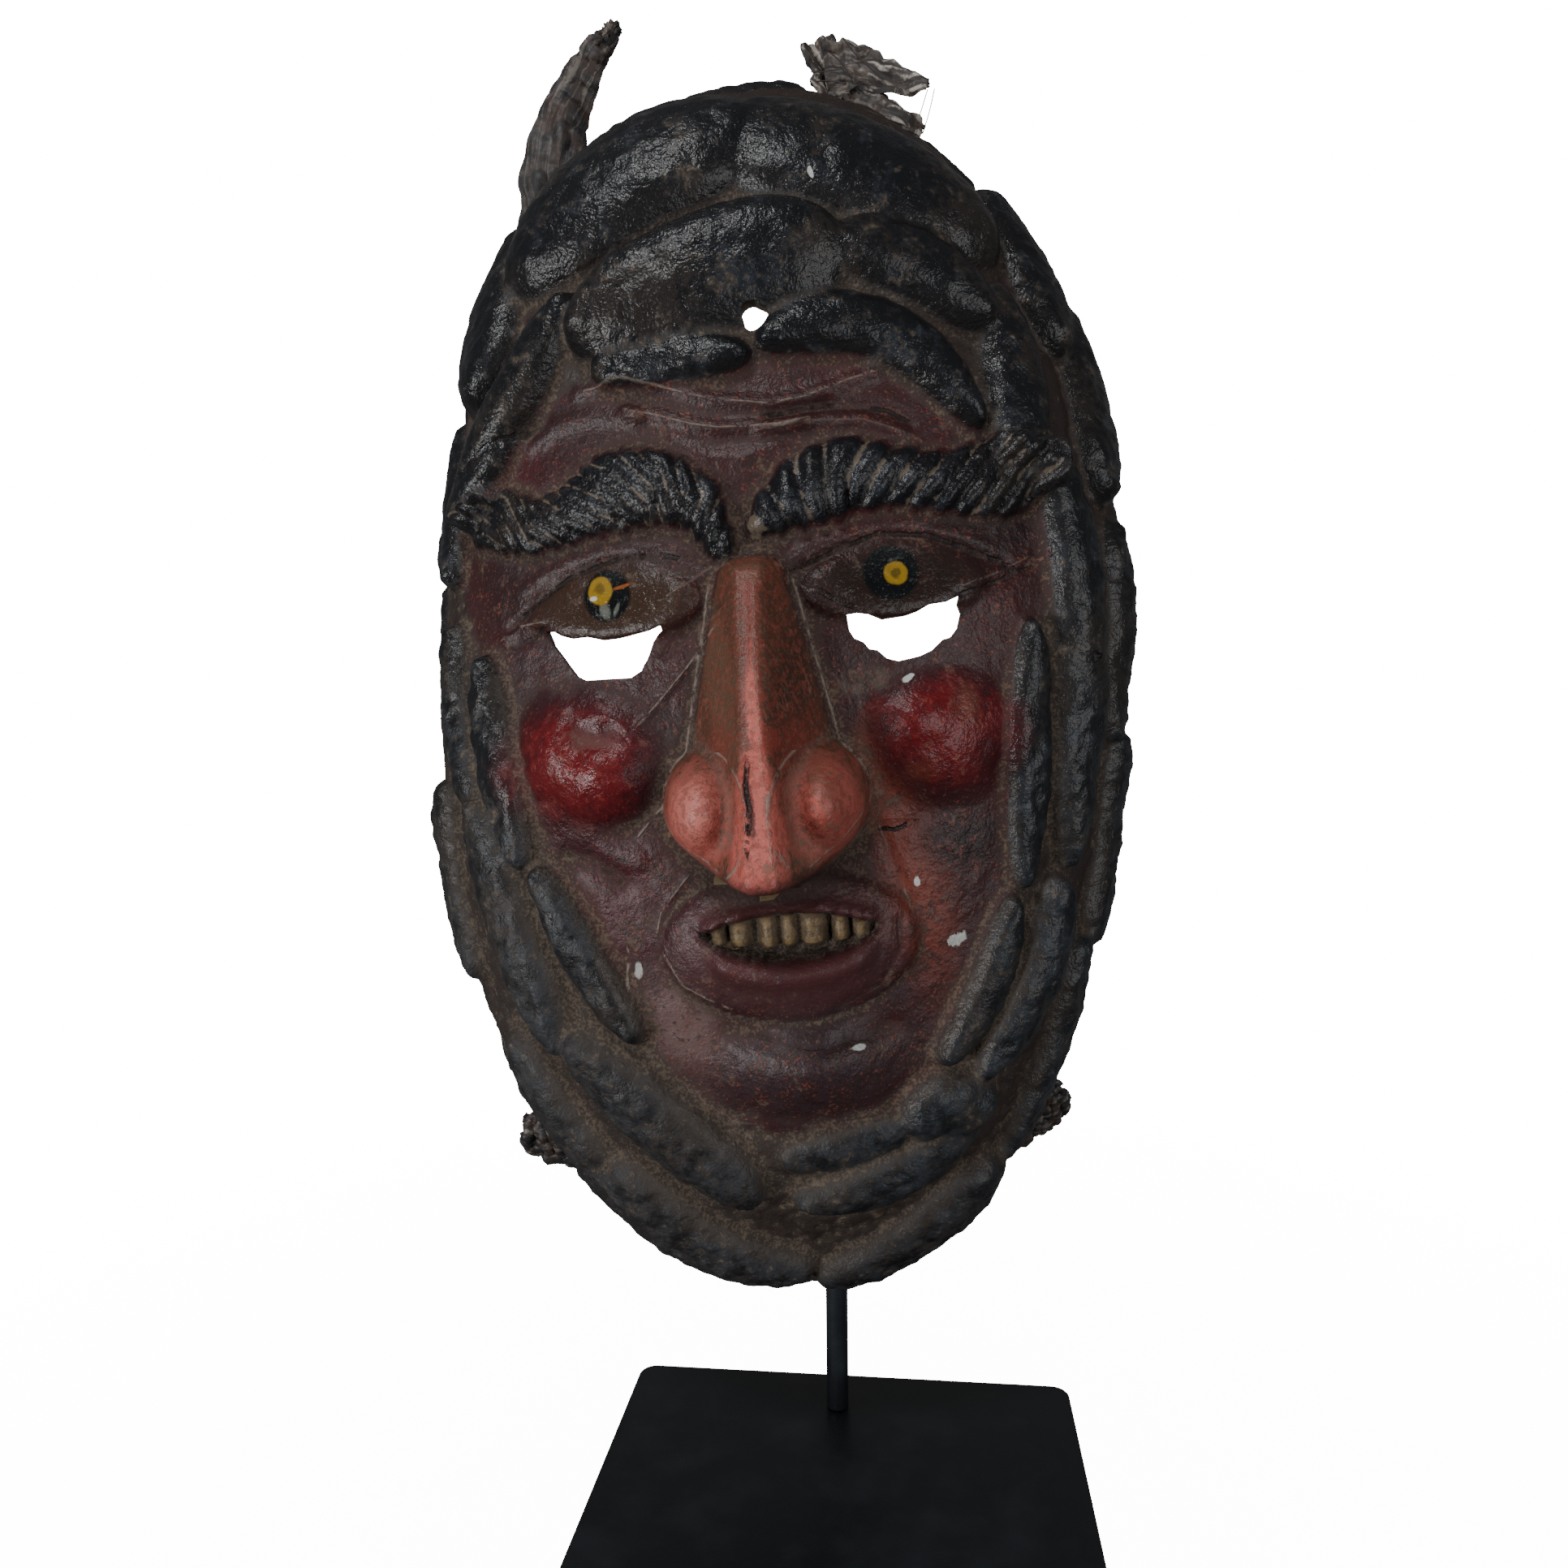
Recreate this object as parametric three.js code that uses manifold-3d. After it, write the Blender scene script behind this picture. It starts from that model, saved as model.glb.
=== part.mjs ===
// Turtle mask: a moulded hide face with locks of hair and four limb flaps, on a rod and plate stand.
// Millimetres, +Z up. The mask faces -Y. The origin is the middle of the plate's underside.
import * as THREE from 'three';
import { mergeVertices } from 'three/addons/utils/BufferGeometryUtils.js';
import { SimplifyModifier } from 'three/addons/modifiers/SimplifyModifier.js';
import Module from 'manifold-3d';

const wasm = await Module();
wasm.setup();

// The stand
const PLATE_SIDE = 130;
const PLATE_THICKNESS = 6;
const PLATE_CORNER = 5;
const PLATE_CORNER_STEPS = 4;
const POST_DIAMETER = 6.35;
const POST_X = -3;
const POST_Y = 48.6;
const POST_TOP = 318;
const POST_SIDES = 20;
const TOUCH_GAP = 0.3;

// The hanger: a collar on the post, an arm into the hollow and a bow under the crown
const COLLAR_DIAMETER = 13;
const COLLAR_HEIGHT = 16;
const ARM_DIAMETER = 5;
const BOW_SPREAD = THREE.MathUtils.degToRad(11);
const BOW_MIDDLE = THREE.MathUtils.degToRad(87);
const BOW_SHARE = 0.86;
const BOW_CLEARANCE = 3;
const ARM_SIDES = 8;
const ROD_STEPS = 8;
const BOW_POINTS = 7;
const ARM_SET_BACK = 9;
const ARM_DROP = 6;

// How the mask hangs: the middle of its rim plane, its turn to one side and its lean
const MASK_CENTRE = new THREE.Vector3(-18.2, 44, 210);
const MASK_TURN = THREE.MathUtils.degToRad(3.5);
const MASK_LEAN = THREE.MathUtils.degToRad(3.6);

// The shell: an egg outline with a sway to one side, domed forward
const HALF_WIDTH = 88;
const HALF_HEIGHT = 156;
const EGG_POWER = 2.15;
const SHIFT_X = 1.3;
const SHIFT_Z = 1.5;
const SWAY = 4.7;
const DOME_DEPTH = 62;
const DOME_POWER = 0.8;
const WALL = 3;
const THICKEST = 2.5;
const LOCK_HOLLOW = 0.55;

// The shell's grid
const COLUMNS = 28;
const ROWS = 38;
const FINE = 6;
const SHELL_POINTS = 4000;
const CROWDING = 1.08;
const NUDGE = 0.004;
const LAST_NORMAL = 0.985;

// Locks of hair and beard on the flattened-out shell: start, middle, end, half-width, height
const LOCKS = [
  { from: [-50, 122], via: [-28, 122], to: [-2, 128], width: 24, height: 11 },
  { from: [4, 120], via: [28, 118], to: [50, 112], width: 22, height: 9.5 },
  { from: [-28, 80], via: [-2, 83], to: [19, 85], width: 14, height: 10 },
  { from: [-27, 68], via: [-13, 66], to: [2, 64], width: 5, height: 5 },
  { from: [5, 66], via: [28, 70], to: [47, 54], width: 7, height: 6 },
  { from: [21, 84], via: [36, 84], to: [52, 78], width: 11, height: 9 },
  { from: [54, 86], via: [58, 68], to: [56, 50], width: 9.5, height: 7 },
  { from: [64, 126], via: [73, 108], to: [74, 84], width: 13, height: 8 },
  { from: [84, 98], via: [90, 76], to: [88, 50], width: 13, height: 8 },
  { from: [-62, 128], via: [-66, 104], to: [-57, 79], width: 14, height: 9 },
  { from: [-33, 86], via: [-51, 70], to: [-74, 54], width: 8.5, height: 8 },
  { from: [-80, 94], via: [-88, 74], to: [-80, 52], width: 9, height: 4 },
  { from: [-66, 17], via: [-64, -7], to: [-54, -30], width: 7, height: 6 },
  { from: [-82, 28], via: [-82, 4], to: [-71, -18], width: 8, height: 6 },
  { from: [-92, -16], via: [-98, -42], to: [-84, -66], width: 12, height: 7 },
  { from: [-70, -18], via: [-61, -43], to: [-49, -70], width: 10, height: 8 },
  { from: [-51, -31], via: [-40, -48], to: [-30, -63], width: 6, height: 6 },
  { from: [-66, -76], via: [-56, -94], to: [-44, -109], width: 10.5, height: 8 },
  { from: [-45, -67], via: [-28, -83], to: [-10, -102], width: 10, height: 8 },
  { from: [-38, -102], via: [-28, -124], to: [-2, -137], width: 14, height: 9 },
  { from: [-58, -118], via: [-56, -132], to: [-44, -146], width: 7, height: 5 },
  { from: [59, 15], via: [59, -14], to: [54, -43], width: 6.5, height: 5 },
  { from: [65, 54], via: [77, 10], to: [69, -43], width: 10, height: 7 },
  { from: [94, 42], via: [106, 14], to: [96, -14], width: 13, height: 9 },
  { from: [99, -16], via: [100, -44], to: [82, -70], width: 13, height: 8 },
  { from: [50, -45], via: [43, -61], to: [31, -74], width: 6, height: 6 },
  { from: [64, -46], via: [58, -64], to: [40, -81], width: 9, height: 8 },
  { from: [76, -68], via: [70, -93], to: [50, -118], width: 10, height: 7 },
  { from: [26, -84], via: [33, -87], to: [40, -90], width: 9, height: 8 },
  { from: [37, -93], via: [22, -102], to: [0, -104], width: 8.5, height: 7 },
  { from: [-2, -92], via: [10, -91], to: [24, -88], width: 6, height: 4 },
  { from: [46, -118], via: [32, -136], to: [4, -144], width: 16, height: 9 },
];
const LOCK_STEPS = 18;
const LOCK_EDGE = 0.62;
const LOCK_CROWN = 0.3;

// Plain curls round the side walls, which only show from the sides, the top and the back
const RIM_CURLS = 20;
const RIM_CURL = { share: 0.93, stagger: 0.02, slant: 0.03, arc: 0.23, width: 7.5, height: 5 };

// How thick the hair is between the locks near the rim
const WEB = { height: 3.8, from: 0.7, to: 0.92 };

// The face, in millimetres right of and above the middle of the mask
const NOSE = {
  top: 34, rootFall: 6, tip: -34, ridge: 3, rootHeight: 7, tipHeight: 36, rootWidth: 8.5, tipWidth: 23.5,
  pinchFrom: -6, pinchTo: -17, pinchWidth: 14,
  underRise: 0.032, under: -36, underFall: 6,
};
const NOSTRIL = { x: 13.2, z: -21.5, width: 10.8, height: 14.5, proud: 25, power: 0.7 };

// Each brow as places with its half-width there
const BROWS = [
  [
    [-66, 48, 6], [-60, 50, 8], [-51, 47, 6.5], [-42, 48.5, 7], [-30, 52.5, 10], [-20, 52.5, 9],
    [-11, 48, 6.5], [-6, 38, 3.5],
  ],
  [
    [3, 42, 4], [9, 46, 7], [14, 48.5, 9], [23, 51.5, 9.5], [34, 50.5, 7.3], [44, 49, 7], [52, 49, 8.7],
    [60, 50, 9.5], [66, 51, 6],
  ],
];
const BROW = { height: 6, power: 0.7 };
const SOCKET = { x: 33, z: 29, width: 30, height: 15, deep: 7 };
const EYEBALL = { x: 32, z: 27, width: 22, height: 9, proud: 9 };
const LID = { x: 32, z: 25, width: 24, height: 13, proud: 3, thick: 3 };
const CHEEK = { left: [-43, -8], right: [42, -9], width: 21, height: 16, proud: 9 };
const MUZZLE = { x: 3, z: -54, width: 31, height: 20, proud: 6, power: 0.5 };
const MOUTH = { x: 4, z: -52, width: 22, height: 6.5, floor: 0.6, deep: 6, lip: 4, lipWidth: 4 };
const TEETH = { z: -50, height: 5, pitch: 6, proud: 3.5, inside: 0.7, power: 0.5 };
const CHIN = { x: 6, z: -86, width: 28, height: 18, proud: 8 };

// What is cut right through the hide
const SIGHT_HOLES = [
  [
    [-49.3, 23], [-43.3, 21.3], [-35.4, 20.6], [-27.5, 21.8], [-21.4, 23.4], [-21, 20], [-24.2, 15.5],
    [-26.7, 11.2], [-29.4, 9.8], [-40.9, 10.1], [-42.9, 11.2], [-46.4, 16.3],
  ],
  [[21, 20], [32, 19], [47, 22.8], [46.5, 15], [42, 12], [31, 9], [26, 11.5], [21, 15.5]],
];
const CROWN_HOLE = { x: 5, z: 89, diameter: 6 };
const CUT_LENGTH = 140;
const HOLE_SEGMENTS = 6;

// The limb flaps as oval strips: places (right, up, out), half-widths and the way the width runs
const FLAP_THICKNESS = 3;
const FLAP_SIDES = 10;
const FLAPS = [
  {
    path: [[-48, 134, 8], [-49, 146, 7], [-46, 160, 5], [-40, 171, 4], [-34, 179, 5], [-28, 183, 7]],
    widths: [10, 9, 7.5, 5.5, 4, 1.5], side: [1, 0.2, 0.25],
  },
  {
    path: [[37, 145, 8], [35, 151, 7], [31, 158, 5], [28, 167, 3], [24, 176, 2]],
    widths: [10, 9, 8, 7, 4.5], side: [1, 0.3, 0.2],
  },
  {
    path: [[30, 164, 5], [37, 166, 7], [44, 163, 9], [52, 160, 10]],
    widths: [6.5, 5.5, 3, 1], side: [-0.2, 0.3, 1],
  },
  {
    path: [[-60, -112, 7], [-66, -117, 4], [-73, -118, 2], [-82, -116, 1]],
    widths: [12, 11, 9.5, 5.5], side: [0.4, 0.2, -1],
  },
  {
    path: [[52, -116, 7], [60, -119, 4], [66, -117, 2], [73, -113, 1]],
    widths: [12, 11, 9.5, 5], side: [0.5, -0.2, 1],
  },
];

const hide = new THREE.MeshStandardMaterial({ color: 0x2c2426, roughness: 0.45, metalness: 0 });
const steel = new THREE.MeshStandardMaterial({ color: 0x16191c, roughness: 0.35, metalness: 0.4 });

// Turns a closed geometry into a solid
function solidOf(geometry) {
  const bare = geometry.clone();
  bare.deleteAttribute('normal');
  bare.deleteAttribute('uv');
  const merged = mergeVertices(bare, 1e-4);
  return new wasm.Manifold(new wasm.Mesh({
    numProp: 3,
    vertProperties: new Float32Array(merged.attributes.position.array),
    triVerts: new Uint32Array(merged.index.array),
  }));
}

// Turns a solid back into a geometry
function geometryOf(solid) {
  const mesh = solid.getMesh();
  const geometry = new THREE.BufferGeometry();
  geometry.setAttribute('position', new THREE.BufferAttribute(mesh.vertProperties, 3));
  geometry.setIndex(new THREE.BufferAttribute(mesh.triVerts, 1));
  geometry.computeVertexNormals();
  return geometry;
}

// A smooth step from 0 at one place to 1 at another
function ease(value, from, to) {
  const t = THREE.MathUtils.clamp((value - from) / (to - from), 0, 1);
  return t * t * (3 - 2 * t);
}

// A rounded boss of height 1 inside an ellipse
function boss(x, z, centre, width, height) {
  const q = Math.hypot((x - centre[0]) / width, (z - centre[1]) / height);
  return q < 1 ? (1 - q * q) ** 2 : 0;
}

// How far the rim is from the middle of the mask in one direction, seen from the front
function rimRadius(angle) {
  const wide = Math.abs(Math.cos(angle) / HALF_WIDTH) ** EGG_POWER;
  const tall = Math.abs(Math.sin(angle) / HALF_HEIGHT) ** EGG_POWER;
  const egg = (wide + tall) ** (-1 / EGG_POWER);
  return egg + SHIFT_X * Math.cos(angle) + SHIFT_Z * Math.sin(angle) + SWAY * Math.sin(2 * angle);
}

// The bare dome: a direction, and a share of the way from the middle to the rim
function dome(angle, share) {
  const turn = share * Math.PI / 2;
  const radius = rimRadius(angle) * Math.sin(turn);
  const out = DOME_DEPTH * Math.max(Math.cos(turn), 0) ** DOME_POWER;
  return new THREE.Vector3(radius * Math.cos(angle), -out, radius * Math.sin(angle));
}

// The place of a point of the dome on the flattened-out shell
function flattened(angle, share) {
  const arc = Math.PI / 2 * Math.sqrt((rimRadius(angle) ** 2 + DOME_DEPTH ** 2) / 2);
  return [share * arc * Math.cos(angle), share * arc * Math.sin(angle)];
}

// Direction and share of a point of the unit disc
function discPlace(x, y) {
  return [Math.atan2(HALF_HEIGHT * y, HALF_WIDTH * x), Math.hypot(x, y) ** CROWDING];
}

// Which way the dome faces at a direction and share
function domeNormal(angle, share) {
  const at = Math.min(share, LAST_NORMAL);
  const across = dome(angle + NUDGE, at).sub(dome(angle - NUDGE, at));
  const along = dome(angle, at + NUDGE).sub(dome(angle, Math.max(at - NUDGE, 0)));
  const normal = along.cross(across);
  return normal.lengthSq() > 0 ? normal.normalize() : new THREE.Vector3(0, -1, 0);
}

// A lock as a string of discs along a curve through its start, middle and end
function lockDiscs(lock) {
  const discs = [];
  for (let i = 1; i < LOCK_STEPS; i += 1) {
    const t = i / LOCK_STEPS;
    const weights = [(1 - t) * (1 - 2 * t), 4 * t * (1 - t), t * (2 * t - 1)];
    const at = (k) => weights[0] * lock.from[k] + weights[1] * lock.via[k] + weights[2] * lock.to[k];
    const reach = lock.width * Math.sqrt(1 - Math.abs(2 * t - 1) ** 3);
    discs.push([at(0), at(1), reach]);
  }
  return { discs, height: lock.height };
}

// The plain curls that follow the rim
function rimCurls() {
  const curls = [];
  for (let i = 0; i < RIM_CURLS; i += 1) {
    const angle = 2 * Math.PI * i / RIM_CURLS;
    const share = RIM_CURL.share + RIM_CURL.stagger * (-1) ** i;
    curls.push({
      from: flattened(angle - RIM_CURL.arc / 2, share - RIM_CURL.slant),
      via: flattened(angle, share),
      to: flattened(angle + RIM_CURL.arc / 2, share + RIM_CURL.slant),
      width: RIM_CURL.width,
      height: RIM_CURL.height,
    });
  }
  return curls;
}

const allLocks = [...LOCKS, ...rimCurls()].map(lockDiscs);

// How far the locks stand out of the shell at a place on the flattened-out shell
function lockHeight(u, v) {
  let height = 0;
  for (const lock of allLocks) {
    let nearest = 1;
    for (const [x, y, reach] of lock.discs) {
      nearest = Math.min(nearest, Math.hypot(u - x, v - y) / reach);
    }
    const crown = 1 - LOCK_CROWN * nearest * nearest;
    height = Math.max(height, lock.height * crown * ease(1 - nearest, 0, LOCK_EDGE));
  }
  return height;
}

// The nose: a flat-topped ridge whose flanks close in between two round wings, and a steep underside
function noseHeight(x, z) {
  const down = THREE.MathUtils.clamp((NOSE.top - z) / (NOSE.top - NOSE.tip), 0, 1);
  const crest = THREE.MathUtils.lerp(NOSE.rootHeight, NOSE.tipHeight, down);
  const flared = THREE.MathUtils.lerp(NOSE.rootWidth, NOSE.tipWidth, down);
  const width = THREE.MathUtils.lerp(flared, NOSE.pinchWidth, ease(z, NOSE.pinchFrom, NOSE.pinchTo));
  const flank = 1 - THREE.MathUtils.clamp((Math.abs(x) - NOSE.ridge) / (width - NOSE.ridge), 0, 1);
  const root = ease(z, NOSE.top + NOSE.rootFall / 2, NOSE.top - NOSE.rootFall / 2);
  const wedge = crest * flank * root;
  const side = Math.hypot((Math.abs(x) - NOSTRIL.x) / NOSTRIL.width, (z - NOSTRIL.z) / NOSTRIL.height);
  const wing = side < 1 ? NOSTRIL.proud * (1 - side * side) ** NOSTRIL.power : 0;
  const underside = NOSE.under + NOSE.underRise * x * x;
  return Math.max(wedge, wing) * ease(z, underside - NOSE.underFall, underside);
}

// A brow: a raised band along a row of points
function browHeight(x, z) {
  let height = 0;
  for (const brow of BROWS) {
    for (let i = 1; i < brow.length; i += 1) {
      const [ax, az, startWidth] = brow[i - 1];
      const [bx, bz, endWidth] = brow[i];
      const along = ((x - ax) * (bx - ax) + (z - az) * (bz - az)) / ((bx - ax) ** 2 + (bz - az) ** 2);
      const t = THREE.MathUtils.clamp(along, 0, 1);
      const width = THREE.MathUtils.lerp(startWidth, endWidth, t);
      const q = Math.hypot(x - ax - t * (bx - ax), z - az - t * (bz - az)) / width;
      if (q < 1) height = Math.max(height, BROW.height * (1 - q * q) ** BROW.power);
    }
  }
  return height;
}

// Sunken socket, bulging eyeball and the fold of the upper lid
function eyeHeight(x, z) {
  const side = Math.abs(x);
  const socket = -SOCKET.deep * boss(side, z, [SOCKET.x, SOCKET.z], SOCKET.width, SOCKET.height);
  const q = Math.hypot((side - EYEBALL.x) / EYEBALL.width, (z - EYEBALL.z) / EYEBALL.height);
  const ball = q < 1 ? EYEBALL.proud * Math.sqrt(1 - q * q) : 0;
  const ring = Math.hypot((side - LID.x) / LID.width, (z - LID.z) / LID.height);
  const fold = Math.exp(-(((ring - 1) * LID.height / LID.thick) ** 2)) * ease(z, LID.z, LID.z + LID.height);
  return socket + Math.max(ball, LID.proud * fold);
}

// Mouth: a raised muzzle, two lips round an opening and a row of teeth in it
function mouthHeight(x, z) {
  const round = boss(x, z, [MUZZLE.x, MUZZLE.z], MUZZLE.width, MUZZLE.height);
  const muzzle = MUZZLE.proud * round ** MUZZLE.power;
  const q = Math.hypot((x - MOUTH.x) / MOUTH.width, (z - MOUTH.z) / MOUTH.height);
  const lips = MOUTH.lip * Math.exp(-(((q - 1) * MOUTH.height / MOUTH.lipWidth) ** 2));
  const opening = -MOUTH.deep * ease(q, 1, MOUTH.floor);
  const row = ease(Math.abs(z - TEETH.z), TEETH.height, TEETH.height / 2) * ease(q, 1, TEETH.inside);
  const scallop = Math.abs(Math.cos(Math.PI * (x - MOUTH.x) / TEETH.pitch));
  const tooth = TEETH.proud * row * scallop ** TEETH.power;
  return muzzle + lips + opening + tooth;
}

// How far the face stands forward of the dome
function faceHeight(x, z) {
  const cheeks = boss(x, z, CHEEK.left, CHEEK.width, CHEEK.height)
    + boss(x, z, CHEEK.right, CHEEK.width, CHEEK.height);
  const chin = CHIN.proud * boss(x, z, [CHIN.x, CHIN.z], CHIN.width, CHIN.height);
  const rest = browHeight(x, z) + eyeHeight(x, z) + CHEEK.proud * cheeks + chin;
  return Math.max(noseHeight(x, z), rest + mouthHeight(x, z));
}

// A point of the outer or the inner skin
function skinPoint(x, y, inner) {
  const [angle, share] = discPlace(x, y);
  const base = dome(angle, share);
  const normal = domeNormal(angle, share);
  const [u, v] = flattened(angle, share);
  const face = faceHeight(base.x, base.z);
  const web = WEB.height * ease(share, WEB.from, WEB.to);
  const relief = Math.max(lockHeight(u, v), web) * (inner ? LOCK_HOLLOW : 1);
  const point = base.addScaledVector(normal, relief - (inner ? WALL : 0));
  point.y -= face;
  if (inner) {
    const slope = Math.hypot(
      faceHeight(base.x + 1, base.z) - face,
      faceHeight(base.x, base.z + 1) - face,
    );
    point.y += WALL * (Math.min(Math.hypot(1, slope), THICKEST) - 1);
  }
  return point;
}

// The border of a grid, counted anticlockwise as seen from the front
function borderOf(columns, rows) {
  const border = [];
  for (let i = 0; i < columns; i += 1) border.push([i, 0]);
  for (let j = 0; j < rows; j += 1) border.push([columns, j]);
  for (let i = columns; i > 0; i -= 1) border.push([i, rows]);
  for (let j = rows; j > 0; j -= 1) border.push([0, j]);
  return border;
}

// One skin on a grid squeezed from a square to a disc
function addSkin(positions, index, columns, rows, inner) {
  const first = positions.length / 3;
  const at = (i, j) => first + j * (columns + 1) + i;
  for (let j = 0; j <= rows; j += 1) {
    for (let i = 0; i <= columns; i += 1) {
      const u = 2 * i / columns - 1;
      const v = 2 * j / rows - 1;
      const point = skinPoint(u * Math.sqrt(1 - v * v / 2), v * Math.sqrt(1 - u * u / 2), inner);
      positions.push(point.x, point.y, point.z);
      if (i === columns || j === rows) continue;
      const corners = [at(i, j), at(i + 1, j), at(i + 1, j + 1), at(i, j + 1)];
      const [a, b, c, d] = inner ? corners.reverse() : corners;
      index.push(a, b, c, a, c, d);
    }
  }
  return borderOf(columns, rows).map(([i, j]) => at(i, j));
}

// Both skins joined round the rim, then thinned out where the surface is smooth
async function shellGeometry() {
  const positions = [];
  const index = [];
  const outer = addSkin(positions, index, FINE * COLUMNS, FINE * ROWS, false);
  const inner = addSkin(positions, index, COLUMNS, ROWS, true);
  inner.forEach((a, k) => {
    const b = inner[(k + 1) % inner.length];
    const rim = [];
    for (let step = 0; step <= FINE; step += 1) {
      rim.push(outer[(FINE * k + step) % outer.length]);
      if (step > 0) index.push(a, rim[step], rim[step - 1]);
    }
    index.push(a, b, rim[FINE]);
  });
  const geometry = new THREE.BufferGeometry();
  geometry.setAttribute('position', new THREE.BufferAttribute(new Float32Array(positions), 3));
  geometry.setIndex(index);
  const spare = positions.length / 3 - SHELL_POINTS;
  return new SimplifyModifier().modify(geometry, spare);
}

// A closed strip with an oval section along a row of places
function strip(places, widths, side, thickness, sides) {
  const points = places.map(([x, z, out]) => new THREE.Vector3(x, -out, z));
  const positions = [];
  const index = [];
  points.forEach((centre, k) => {
    const before = points[Math.max(k - 1, 0)];
    const after = points[Math.min(k + 1, points.length - 1)];
    const ahead = after.clone().sub(before).normalize();
    const across = new THREE.Vector3(...side);
    across.addScaledVector(ahead, -across.dot(ahead)).normalize();
    const up = ahead.clone().cross(across);
    for (let s = 0; s < sides; s += 1) {
      const turn = 2 * Math.PI * s / sides;
      const rim = centre.clone().addScaledVector(across, widths[k] * Math.cos(turn));
      rim.addScaledVector(up, Math.min(thickness, widths[k]) * Math.sin(turn));
      positions.push(rim.x, rim.y, rim.z);
    }
  });
  const last = (points.length - 1) * sides;
  for (let k = 0; k < points.length - 1; k += 1) {
    for (let s = 0; s < sides; s += 1) {
      const next = (s + 1) % sides;
      const [a, b, c, d] = [k * sides + s, k * sides + next, (k + 1) * sides + next, (k + 1) * sides + s];
      index.push(a, b, c, a, c, d);
    }
  }
  for (let s = 1; s < sides - 1; s += 1) {
    index.push(0, s + 1, s, last, last + s, last + s + 1);
  }
  const geometry = new THREE.BufferGeometry();
  geometry.setAttribute('position', new THREE.BufferAttribute(new Float32Array(positions), 3));
  geometry.setIndex(index);
  return geometry;
}

// A cutter that runs from behind the mask out through its face
function cutter(shape) {
  const geometry = new THREE.ExtrudeGeometry(shape, {
    depth: CUT_LENGTH,
    bevelEnabled: false,
    curveSegments: HOLE_SEGMENTS,
  });
  geometry.rotateX(Math.PI / 2);
  return geometry;
}

// The shell with its flaps joined on and its sight holes and crown hole cut through
async function maskGeometry() {
  let mask = solidOf(await shellGeometry());
  for (const flap of FLAPS) {
    mask = mask.add(solidOf(strip(flap.path, flap.widths, flap.side, FLAP_THICKNESS / 2, FLAP_SIDES)));
  }
  for (const outline of SIGHT_HOLES) {
    const corners = outline.map(([x, z]) => new THREE.Vector2(x, z));
    mask = mask.subtract(solidOf(cutter(new THREE.Shape(corners))));
  }
  const round = new THREE.Shape();
  round.absarc(CROWN_HOLE.x, CROWN_HOLE.z, CROWN_HOLE.diameter / 2, 0, 2 * Math.PI);
  return geometryOf(mask.subtract(solidOf(cutter(round))));
}

const maskGroup = new THREE.Group();
maskGroup.position.copy(MASK_CENTRE);
maskGroup.rotation.set(0, -MASK_LEAN, MASK_TURN, 'ZYX');
maskGroup.updateMatrixWorld(true);
const mask = new THREE.Mesh(await maskGeometry(), hide);
mask.name = 'mask';
maskGroup.add(mask);

// The bow follows the hollow of the crown and the arm comes from the post to its middle
function bowPoint(angle) {
  const clear = WALL + BOW_CLEARANCE;
  const point = dome(angle, BOW_SHARE).addScaledVector(domeNormal(angle, BOW_SHARE), -clear);
  return maskGroup.localToWorld(point);
}

// A round rod through a row of places
function rodGeometry(points, diameter) {
  const round = new THREE.Shape();
  round.absarc(0, 0, diameter / 2, 0, 2 * Math.PI);
  return new THREE.ExtrudeGeometry(round, {
    extrudePath: new THREE.CatmullRomCurve3(points),
    steps: ROD_STEPS,
    curveSegments: ARM_SIDES / 2,
    bevelEnabled: false,
  });
}

// The collar is bored from below, so the post's top end stands in it
function hangerGeometry() {
  const bow = [];
  for (let i = 0; i < BOW_POINTS; i += 1) {
    bow.push(bowPoint(BOW_MIDDLE + BOW_SPREAD * (2 * i / (BOW_POINTS - 1) - 1)));
  }
  const crown = bow[(BOW_POINTS - 1) / 2];
  const foot = new THREE.Vector3(POST_X, POST_Y, POST_TOP - TOUCH_GAP);
  const knee = foot.clone().lerp(new THREE.Vector3(POST_X, POST_Y, crown.z), 0.5);
  const shoulder = foot.clone().lerp(crown, 0.5).setY(POST_Y - ARM_SET_BACK).setZ(crown.z - ARM_DROP);
  const arm = [foot, knee, shoulder, crown];
  const collarRadius = COLLAR_DIAMETER / 2;
  const collar = new THREE.CylinderGeometry(collarRadius, collarRadius, COLLAR_HEIGHT, POST_SIDES);
  collar.rotateX(Math.PI / 2);
  collar.translate(POST_X, POST_Y, POST_TOP);
  const boreRadius = POST_DIAMETER / 2 + TOUCH_GAP;
  const bore = new THREE.CylinderGeometry(boreRadius, boreRadius, COLLAR_HEIGHT, POST_SIDES);
  bore.rotateX(Math.PI / 2);
  bore.translate(POST_X, POST_Y, POST_TOP + TOUCH_GAP - COLLAR_HEIGHT / 2);
  const whole = solidOf(rodGeometry(bow, ARM_DIAMETER))
    .add(solidOf(rodGeometry(arm, ARM_DIAMETER)))
    .add(solidOf(collar))
    .subtract(solidOf(bore));
  return geometryOf(whole);
}

const hanger = new THREE.Mesh(hangerGeometry(), steel);
hanger.name = 'hanger';

// A square plate with rounded corners
function plateGeometry() {
  const half = PLATE_SIDE / 2;
  const inset = half - PLATE_CORNER;
  const outline = new THREE.Shape();
  [[1, 1], [-1, 1], [-1, -1], [1, -1]].forEach(([sx, sy], quarter) => {
    const start = quarter * Math.PI / 2;
    outline.absarc(sx * inset, sy * inset, PLATE_CORNER, start, start + Math.PI / 2);
  });
  return new THREE.ExtrudeGeometry(outline, {
    depth: PLATE_THICKNESS,
    curveSegments: PLATE_CORNER_STEPS,
    bevelEnabled: false,
  });
}

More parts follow.
